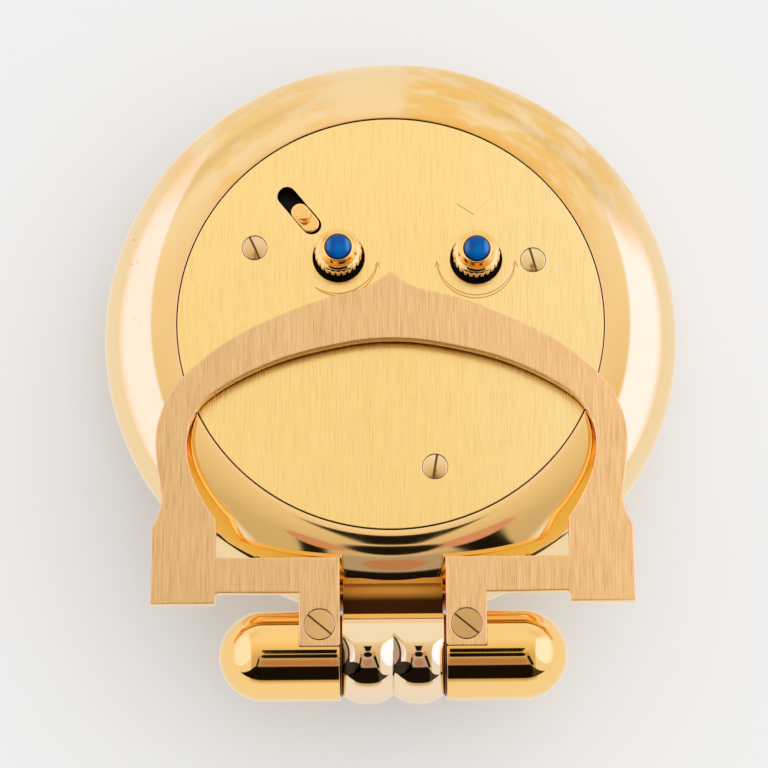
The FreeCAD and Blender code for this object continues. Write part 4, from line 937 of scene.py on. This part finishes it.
class CLOCK_OT_hinge(bpy.types.Operator):
    """Build the two hinge barrels and the knuckle between them"""
    bl_idname = "clock.hinge"
    bl_label = "Hinge"

    def execute(self, context):
        """The washers, the barrels and the knuckle's round back all lie about one axis along X."""
        low, high = box_of("barrel_right")
        axis = (0, (low[1] + high[1]) / 2, (low[2] + high[2]) / 2)
        self.washers(axis)
        self.barrels(axis, low[0], high[0], (high[1] - low[1]) / 2)
        self.knuckle(axis)
        return {"FINISHED"}

    def washers(self, axis):
        """Two thin discs, turned about the axis, whose edges show between the barrels and the knuckle."""
        shade = plain("washer_shade", (0.20, 0.09, 0.035), metallic=1.0, roughness=0.4, grain=0.1)
        shell = Shell()
        profile = np.array([(0, 6.9), (5.45, 6.9), (5.5, 6.95), (5.5, 7.1), (5.45, 7.14), (0, 7.14)])
        for side in (-1, 1):
            lathe(shell, profile * [MM, side * MM], axis, "X", 160)
        shell.build("friction_washer_shells", "case", shade, ["friction_washers"])

    def barrels(self, axis, start, end, radius):
        """Barrels turned about the axis: a straight stretch, then a quarter circle to the end. A seat for
        the stand's tongue is cut into each."""
        gold = polished_gold("barrel_gold", (0.935, 0.62, 0.235), (0.80, 0.50, 0.20), amount=0.1,
                             roughness=0.045, specks=0.2)
        edge, straight = 0.12 * MM, end - radius
        near, far, back, bottom = 7.0 * MM, 12.62 * MM, -46.05 * MM, 16.8 * MM
        dome = ellipse((0, straight), (radius, radius), 0, 90, 32)
        corner = ellipse((radius - edge, start + edge), (edge, edge), -90, 0, 4)
        stretch = np.column_stack([np.full(25, radius), np.linspace(start + edge, straight, 27)[1:-1]])
        profile = np.concatenate([[(0, start)], corner, stretch, dome])
        for name, side in (("barrel_left", -1), ("barrel_right", 1)):
            shell = Shell()
            lathe(shell, profile * [1, side], axis, "X", 240)
            left, right = sorted((side * near, side * far))
            cutter = brick("seat", (left, back, bottom), (right, -38 * MM, 20 * MM))
            barrel = combined(shell.solid(name + "_shell"), cutter, "DIFFERENCE")
            finished(barrel, "stand", gold, [name], crease=18.0)

    def knuckle(self, axis):
        """The lobed block and the neck that carries it, joined into one piece."""
        half, front = box_of("hinge_knuckle")[1][0], -41.22 * MM
        foot = axis[2] - 5.45 * MM
        block = self.block(axis, half, front, foot).solid("hinge_knuckle_shell")
        neck = self.neck(half, front, foot).laid().solid("neck")
        joined, gold = combined(block, neck, "UNION"), self.gold(half, front)
        finished(joined, "case", gold, ["hinge_knuckle"], crease=20.0)

    def block(self, axis, half, front, foot):
        """A section of (y, z) points for each place across, run up the front and its stepped bevel, back
        along the flat top, and round the lobes to the underside. With u from a lobe's middle, the surface
        falls by the integral of tan(lean), lean = arcsin(u / lobe) min(1, 0.30 + 0.36 u / mm), and that
        fall is eased in along the top from the first parting Y to the second. The lobes' middle lies
        0.5 mm nearer to the case than the axis, and their back is stretched along Y so that it ends 0.45 mm
        further out than a lobe about the axis would. The ends are rounded by a quarter circle towards the
        middle."""
        lobe, flat_top, end_edge = 6.04 * MM, 5.08 * MM, 0.16 * MM
        middle = np.array([0, axis[1] + 0.5 * MM, axis[2]])
        stretch = (middle[1] - (axis[1] - 0.45 * MM - lobe)) / lobe
        top, parting = middle[2] + flat_top, (-43.0 * MM, -47.0 * MM)
        across = np.linspace(-half, half, 241)
        u = np.abs(np.abs(across) - half / 2)
        reach = np.linspace(0, u.max(), 400)
        lean = np.arcsin(reach / lobe) * np.minimum(1, 0.30 + 0.36 * reach / MM)
        fall = np.concatenate([[0], np.cumsum(np.tan(lean[1:]) * np.diff(reach))])
        fall = np.interp(u, reach, fall)

        def eased(y, first, last):
            """0 up to the first Y, 1 from the last, with a smooth step between."""
            share = np.clip((first - y) / (first - last), 0, 1)
            return share * share * (3 - 2 * share)

        def sections(y, z):
            """Rows of points from Y and Z values, one column for each place across."""
            return np.stack(np.broadcast_arrays(across, y, z), axis=-1)

        y, z = np.array([
            (front, foot + 0.6 * MM), (front, top - 0.95 * MM), (front - 0.12 * MM, top - 0.78 * MM),
            (front - 0.84 * MM, top - 0.16 * MM), (front - 0.90 * MM, top - 0.28 * MM),
            (front - 0.98 * MM, top - 0.26 * MM), (front - 1.04 * MM, top - 0.05 * MM),
            (front - 1.12 * MM, top), (front - 1.2 * MM, top)]).T[..., None]
        rows = sections(y, z)
        begin = front - 1.3 * MM
        y = np.linspace(begin, middle[1], 40)[:-1, None]
        rise = eased(y, begin, middle[1])
        height = flat_top * (1 - rise) + lobe * rise - fall * eased(y, *parting)
        flat = sections(y, middle[2] + height)
        turn = np.linspace(0, math.pi, 121)[:, None]
        y = middle[1] - stretch * lobe * np.sin(np.minimum(turn, math.pi / 2))
        under = np.clip((turn - math.radians(140)) / math.radians(40), 0, 1)
        radius = (lobe - fall * eased(y, *parting)) * (1 - 0.08 * under)
        back = sections(middle[1] - stretch * radius * np.sin(turn), middle[2] + radius * np.cos(turn))
        points = np.concatenate([rows, flat, back])
        edge = np.minimum(1.0, (half - np.abs(points[..., 0])) / end_edge)
        pull = (1 - np.sqrt(1 - (1 - edge) ** 2)) * end_edge
        away = points - middle
        away[..., 0] = 0
        points = points - away / np.linalg.norm(away, axis=-1)[..., None] * pull[..., None]
        shell = Shell()
        shell.grid(np.concatenate([points, points[:1]]))
        for rim in (points[:, 0], points[:, -1]):
            hub = np.broadcast_to([rim[0, 0], middle[1] + 1.0 * MM, middle[2]], rim.shape)
            shell.grid(np.array([rim, hub]), around=True)
        return shell

    def neck(self, half, front, foot):
        """The neck's outline seen from the side, a hollow curve above and an arc below, carried along X."""
        inside, upper, waist = -35.9 * MM, -36.6 * MM, -39.3 * MM
        rim_top, rim_low = 14.4 * MM, 6.16 * MM
        hollow = np.array([(-36.6, 14.3), (-37.0, 14.03), (-37.6, 13.9), (-38.4, 13.88), (-39.2, 14.1),
                           (-40.2, 14.75), (-41.5, 16.1)]) * MM
        bend = softened(hollow, np.array([0, 0.2, 0.25, 0.35, 0.4, 0.5, 0]) * MM)
        under = arc_through((front, foot + 1.6 * MM), (waist, rim_low + 1.1 * MM), (upper, rim_low), 20)
        outline = np.concatenate([[(inside, rim_top)], bend, [(front - 1.0 * MM, bend[-1][1]),
                                  (front - 1.0 * MM, foot + 1.6 * MM)], under, [(inside, rim_low)]])
        shell = Shell()
        slab(shell, [outline], -half + 0.15 * MM, half - 0.15 * MM, 0.12 * MM)
        return shell

    def gold(self, half, front):
        """Pale mirror gold, deeper low down, less rosy in an ellipse on the right flanks as a painted
        reflection, and amber on the bevel. The neck is rougher, and darkens to nearly black towards the block
        as painted shade. On each lobe's left side, with w from its middle, a leaf up to w = -1.6 - 1.78 ((y +
        46.5) / 2.6)^2 mm is painted in half shade. A painted dark line, wider below, runs along w = -2.5 -
        0.93 ((y + 46.9) /
        2.4)^2 mm, with an ellipse of painted full shade at its foot and deeper painted shade between it and
        the crease. These painted darks stand in for dark things mirrored in the lobes."""
        material, tree = new_material("knuckle_gold")
        x, y, z, _ = tree.position()
        w = x - tree.math("SIGN", x) * (half / 2)

        def oval(centre_w, centre_y, wide, tall, outer, inner):
            """1 inside an ellipse in millimetres, falling to 0 between two shares of its radii."""
            across, along = (w - centre_w * MM) / (wide * MM), (y - centre_y * MM) / (tall * MM)
            return tree.step(tree.length(across, along), outer, inner)

        bevel = tree.step(y, front - 0.95 * MM, front - 0.85 * MM)
        inside = tree.step(y, front - 0.1 * MM, front + 0.02 * MM)
        # Painted shade: the neck darkens to nearly black towards the block.
        deep = tree.step(y, -37.2 * MM, -39.0 * MM)
        low = tree.step(z, 14.5 * MM, 11.5 * MM)
        upper_side = tree.step(z, 13.0 * MM, 14.0 * MM)
        # Painted dark line, with an ellipse of painted full shade at its foot, standing in for a dark
        # reflection.
        bow = (y + 46.9 * MM) / (2.4 * MM)
        beside = w + 2.5 * MM + bow * bow * (0.93 * MM)
        wide = (-47.4 * MM - y).greater(0.0) * 0.28 + 0.13 * MM
        line = tree.step(abs(beside) - wide, 0.05 * MM, -0.04 * MM)
        line = line * tree.step(y, -44.3 * MM, -44.9 * MM) * tree.step(y, -49.2 * MM, -48.9 * MM)
        foot = oval(-2.25, -48.75, 1.4, 0.78, 1.08, 0.94)
        line = line.greater(foot) * upper_side * 0.97
        # Painted half shade on each lobe's left side, deeper between the dark line and the crease.
        leaf = (y + 46.5 * MM) / (2.6 * MM)
        painted_flank_shade = tree.step(w + 1.6 * MM + leaf * leaf * (1.78 * MM), 0.0, -0.5 * MM)
        painted_flank_shade = painted_flank_shade * tree.step(z, 13.0 * MM, 14.5 * MM)
        painted_flank_shade = (painted_flank_shade * 0.85).greater(painted_flank_shade * tree.step(beside, 0.1 * MM, -0.2 * MM) * 1.6)
        # Painted reflection: a less rosy ellipse on the right flanks.
        bright = oval(3.7, -46.3, 1.9, 2.1, 1.05, 0.9) * upper_side

        amber = tree.mix(deep, (0.80, 0.40, 0.07), (0.05, 0.016, 0.003))
        pale = tree.mix(low, (0.88, 0.70, 0.49), (0.82, 0.62, 0.40))
        pale = tree.mix(bright * 0.9, pale, (0.87, 0.73, 0.44))
        pale = tree.mix(painted_flank_shade.lesser(1.0), pale, (0.52, 0.46, 0.20))
        pale = tree.mix((painted_flank_shade - 1.0).greater(0.0), pale, (0.14, 0.10, 0.04))
        pale = tree.mix(line, pale, (0.012, 0.008, 0.004))
        colour = tree.mix(bevel, pale, (0.93, 0.62, 0.26))
        colour = tree.mix(inside, colour, amber)
        tree.principled(Base_Color=colour, Metallic=1.0, Roughness=0.045 + bevel * 0.06 + inside * 0.42)
        return material


class CLOCK_OT_works(bpy.types.Operator):
    """Give every CAD piece that shows its own finish"""
    bl_idname = "clock.works"
    bl_label = "Front and Works"

    def execute(self, context):
        """Pieces that aren't rebuilt keep their CAD shape and take a finish by material slot."""
        # Colour, metallic, roughness and grain by material slot.
        even = {
            "movement_brass": ((0.72, 0.50, 0.22), 1.0, 0.32, 0.08),
            "steel": ((0.56, 0.57, 0.59), 1.0, 0.24, 0.06),
            "washer_steel": ((0.42, 0.42, 0.43), 1.0, 0.35, 0.08),
            "holder_plastic": ((0.55, 0.54, 0.50), 0.0, 0.48, 0.06),
            "hand_paint": ((0.008, 0.008, 0.010), 0.0, 0.28, 0.1),
            "marker_gold": ((0.90, 0.66, 0.30), 1.0, 0.16, 0.05),
            "gasket_rubber": ((0.012, 0.012, 0.012), 0.0, 0.7, 0.2),
            "board_green": ((0.02, 0.14, 0.05), 0.0, 0.4, 0.12),
            "copper_wire": ((0.72, 0.30, 0.13), 1.0, 0.3, 0.15),
            "cell_steel": ((0.66, 0.67, 0.69), 1.0, 0.2, 0.04),
        }
        finishes = {name: plain(name, *values) for name, values in even.items()}
        finishes["black_plastic"] = plain("black_plastic", (0.003, 0.0025, 0.0035), roughness=0.42,
                                          grain=0.2, Specular_IOR_Level=0.15)
        finishes["clear"] = plain("crystal_clear", (1.0, 1.0, 1.0), roughness=0.05, grain=0.0, IOR=1.5,
                                  Transmission_Weight=1.0)
        finishes["dial_paint"] = dial_face("dial_paint")
        finishes["case_gold"] = polished_gold("hidden_gold", (0.955, 0.68, 0.33), (0.80, 0.50, 0.20),
                                              amount=0.1)
        finishes["screw_gold"] = finishes["marker_gold"]
        for row in frame["record"]["subparts"]:
            if row["material_slot"] in finishes:
                for place in frame["nodes"][row["node"]].material_slots:
                    place.material = finishes[row["material_slot"]]
        return {"FINISHED"}


class CLOCK_OT_stage(bpy.types.Operator):
    """Set up the floor, the light and the camera"""
    bl_idname = "clock.stage"
    bl_label = "Stage"

    def execute(self, context):
        """A white floor under the front rim, a pale room all round, and the camera above 6 o'clock."""
        scene, stage = context.scene, context.scene.clock.stage
        self.floor(scene, stage)
        self.light(scene, stage)
        self.camera(scene, stage)
        return {"FINISHED"}

    def floor(self, scene, stage):
        """A flat square just under the clock, which gives off a little light and looks paler mirrored."""
        mesh = bpy.data.meshes.new("floor")
        mesh.from_pydata([(-3, -3, 0), (3, -3, 0), (3, 3, 0), (-3, 3, 0)], [], [(0, 1, 2, 3)])
        floor = bpy.data.objects.new("floor", mesh)
        floor.location.z = -0.02 * MM
        scene.collection.objects.link(floor)
        material, tree = new_material("floor_white")
        shade = tree.add("ShaderNodeBsdfDiffuse", inputs={0: rgba(stage.floor_colour)})
        seen = tree.add("ShaderNodeLightPath", output="Is Glossy Ray")
        glow = tree.add("ShaderNodeEmission", inputs={0: rgba((0.885, 0.88, 0.875)), 1: 1.0 + seen * 0.17})
        share = tree.add("ShaderNodeMixShader", inputs={0: 0.28 + seen * 0.45, 1: shade, 2: glow})
        tree.add("ShaderNodeOutputMaterial", inputs={0: share})
        mesh.materials.append(material)

    def light(self, scene, stage):
        """The world's light by direction. Mirror metal sees the room and the figure in it; matt surfaces
        get even light, a little more from the right; the camera sees pale grey. Tip is the angle from
        straight up towards 6 o'clock, and side the one towards 3 o'clock, both in degrees."""
        world = bpy.data.worlds.new("room")
        world.cycles.sampling_method = "NONE"
        scene.world = world
        tree = Tree(world)
        x, y, z = tree.parts(tree.add("ShaderNodeTexCoord", output="Generated"))
        tip = tree.math("ARCTAN2", -y, z) * DEGREES
        side = x.math("ARCSINE") * DEGREES
        colour = self.figure(tree, side, tip, self.room(tree, x, y, z, tip))
        mirror = tree.add("ShaderNodeBackground", inputs={0: colour, 1: 1.0})
        light_slope = stage.light + x * 0.6 + y * 0.32
        matt = tree.add("ShaderNodeBackground", inputs={0: rgba((1.0, 0.998, 0.995)), 1: light_slope})
        pale = tree.add("ShaderNodeBackground", inputs={0: rgba((0.88, 0.88, 0.88)), 1: 1.0})
        glossy, seen, through = [tree.add("ShaderNodeLightPath", output=name)
                                 for name in ("Is Glossy Ray", "Is Camera Ray", "Is Transmission Ray")]
        shown = tree.add("ShaderNodeMixShader", inputs={0: glossy, 1: matt, 2: mirror})
        shown = tree.add("ShaderNodeMixShader", inputs={0: seen.greater(through), 1: shown, 2: pale})
        tree.add("ShaderNodeOutputWorld", inputs={0: shown})

    def room(self, tree, x, y, z, tip):
        """A ceiling that warms towards 6 o'clock, pale walls, a darker strip of wall towards 12 o'clock, and
        a tall soft lamp on either side."""
        ceiling = tree.add("ShaderNodeValToRGB", {"stops": [
            (0.0, (0.66, 0.53, 0.32, 1)), (0.40, (0.73, 0.59, 0.37, 1)), (0.52, (0.90, 0.74, 0.46, 1)),
            (0.65, (1.02, 0.87, 0.64, 1)), (0.76, (1.05, 1.0, 0.88, 1)), (1.0, (1.02, 1.0, 0.93, 1))]},
            {0: y * 0.5 + 0.5})
        outer = tree.step(abs(x), 0.47, 0.53).greater(tree.step(z, 0.25, 0.05))
        colour = tree.mix(outer, ceiling, (0.99, 0.97, 0.93))
        strip = tree.band(z.math("ARCSINE") * DEGREES, 27.0, 41.0, 5.0) * tree.step(y, 0.1, 0.3)
        strip = strip * tree.step(abs(x), 0.05, 0.35)
        colour = tree.mix(strip * 0.35, colour, (0.70, 0.66, 0.56))
        reach = abs(x) - (tip - 12.0).greater(0.0) * 0.009
        lamp = tree.step(reach, 0.50, 0.54) * tree.step(abs(y - 0.05), 0.95, 0.45) * tree.step(z, 0.0, 0.35)
        right = tree.step(x, -0.1, 0.1)
        lamp = lamp * (1.0 - right * tree.step(y, 0.44, 0.63))
        return tree.mix(lamp, colour, tree.mix(right, (1.55, 1.25, 1.75), (1.7, 1.36, 2.05)))

    def figure(self, tree, side, tip, colour):
        """A dark figure over the room's colour: the head's surroundings, arms, body, face, both hands, and
        what they hold. Side and tip run across and along it."""
        def spot(across, along, wide, tall):
            """1 inside an ellipse given in degrees, with a blurred edge."""
            u, v, blur = (side - across) / wide, (tip - along) / tall, 0.12
            return tree.step(tree.length(u, v), 1 + blur, 1 - blur)

        def limb(start, end, wide):
            """1 along a limb from one (side, tip) to another."""
            return tree.step(tree.distance(side, tip, start, end), wide + 0.6, wide - 0.6)

        black, skin = (0.010, 0.007, 0.005), (0.56, 0.28, 0.16)
        torso = tree.band(tip, 36.0, 74.0, 1.5) * tree.step(abs(side + 2.0) - (tip - 36.0) * 0.9, 20.0, 17.0)
        sleeve = tree.step(side, 21.0, 23.0)
        colour = tree.mix(spot(2.0, 28.0, 17.0, 11.0), colour, (0.50, 0.42, 0.34))
        arms = limb((11.0, 13.0), (22.0, 36.0), 3.4).greater(limb((-10.5, 14.0), (-16.0, 36.0), 2.2))
        colour = tree.mix(arms, colour, black)
        colour = tree.mix(torso, colour, tree.mix(sleeve, black, (0.07, 0.05, 0.035)))
        colour = tree.mix(spot(0.3, 27.0, 5.5, 6.5), colour, skin)
        colour = tree.mix(spot(9.5, 9.0, 5.0, 4.5), colour, (0.75, 0.38, 0.26))
        colour = tree.mix(spot(-9.5, 12.0, 4.0, 4.0), colour, (0.72, 0.36, 0.22))
        hood = tree.band(tip, -6.5, 3.5, 0.6) * tree.step(abs(side) + (tip + 6.5) * 0.22, 4.9, 4.3)
        return tree.mix(spot(0.0, 10.0, 5.4, 5.0).greater(hood), colour, black)

    def camera(self, scene, stage):
        """The camera stands at target + distance (0, -sin tilt, cos tilt). Its axes are turned by the roll,
        and its aim is moved off the target so that the clock stands a little right and low of centre."""
        target = np.array([0, 0, 8.8 * MM])
        back = np.array([0, -math.sin(stage.tilt), math.cos(stage.tilt)])
        place = target + stage.distance * back
        right, up = np.array([1.0, 0, 0]), np.array([0, math.cos(stage.tilt), math.sin(stage.tilt)])
        cosine, sine = math.cos(stage.roll), math.sin(stage.roll)
        turned_right, turned_up = right * cosine - up * sine, right * sine + up * cosine
        off_right, off_up = -0.00206, -0.01528
        aim = -back + turned_right * off_right + turned_up * off_up
        aim /= np.linalg.norm(aim)
        turned_right = np.cross(aim, turned_up)
        turned_right /= np.linalg.norm(turned_right)
        turned_up = np.cross(turned_right, aim)
        data = bpy.data.cameras.new("camera")
        data.sensor_width, data.lens = 36.0, stage.lens
        data.clip_start, data.clip_end = 0.01, 10.0
        camera = bpy.data.objects.new("camera", data)
        matrix = np.eye(4)
        matrix[:3, 0], matrix[:3, 1], matrix[:3, 2], matrix[:3, 3] = turned_right, turned_up, -aim, place
        camera.matrix_world = Matrix(matrix.tolist())
        scene.collection.objects.link(camera)
        scene.camera = camera
        scene.view_settings.view_transform = "Standard"


class CLOCK_PT_sidebar(bpy.types.Panel):
    """Settings and build steps of the clock"""
    bl_idname = "CLOCK_PT_sidebar"
    bl_label = "Travel Alarm Clock"
    bl_space_type = "VIEW_3D"
    bl_region_type = "UI"
    bl_category = "Clock"

    def draw(self, context):
        """The settings in boxes, and a button for each build step."""
        settings = context.scene.clock
        for group in (settings.finish, settings.shape, settings.stage):
            box = self.layout.box()
            for name in group.bl_rna.properties.keys():
                if name not in ("rna_type", "name"):
                    box.prop(group, name)
        for operator in OPERATORS:
            self.layout.operator(operator.bl_idname)


GROUPS = (ClockFinish, ClockShape, ClockStage, ClockSettings)
OPERATORS = (CLOCK_OT_case, CLOCK_OT_plate, CLOCK_OT_crowns, CLOCK_OT_switch, CLOCK_OT_stand, CLOCK_OT_hinge,
             CLOCK_OT_works, CLOCK_OT_stage)


def register():
    """Registers the classes and ties the settings to the scene."""
    for kind in (*GROUPS, *OPERATORS, CLOCK_PT_sidebar):
        bpy.utils.register_class(kind)
    bpy.types.Scene.clock = bpy.props.PointerProperty(type=ClockSettings)


def unregister():
    """Takes back what register() does, in the other order."""
    del bpy.types.Scene.clock
    for kind in reversed((*GROUPS, *OPERATORS, CLOCK_PT_sidebar)):
        bpy.utils.unregister_class(kind)


def main():
    """Builds the clock step by step."""
    register()
    for operator in OPERATORS:
        group, name = operator.bl_idname.split(".")
        getattr(getattr(bpy.ops, group), name)()


if __name__ == "__main__":
    main()
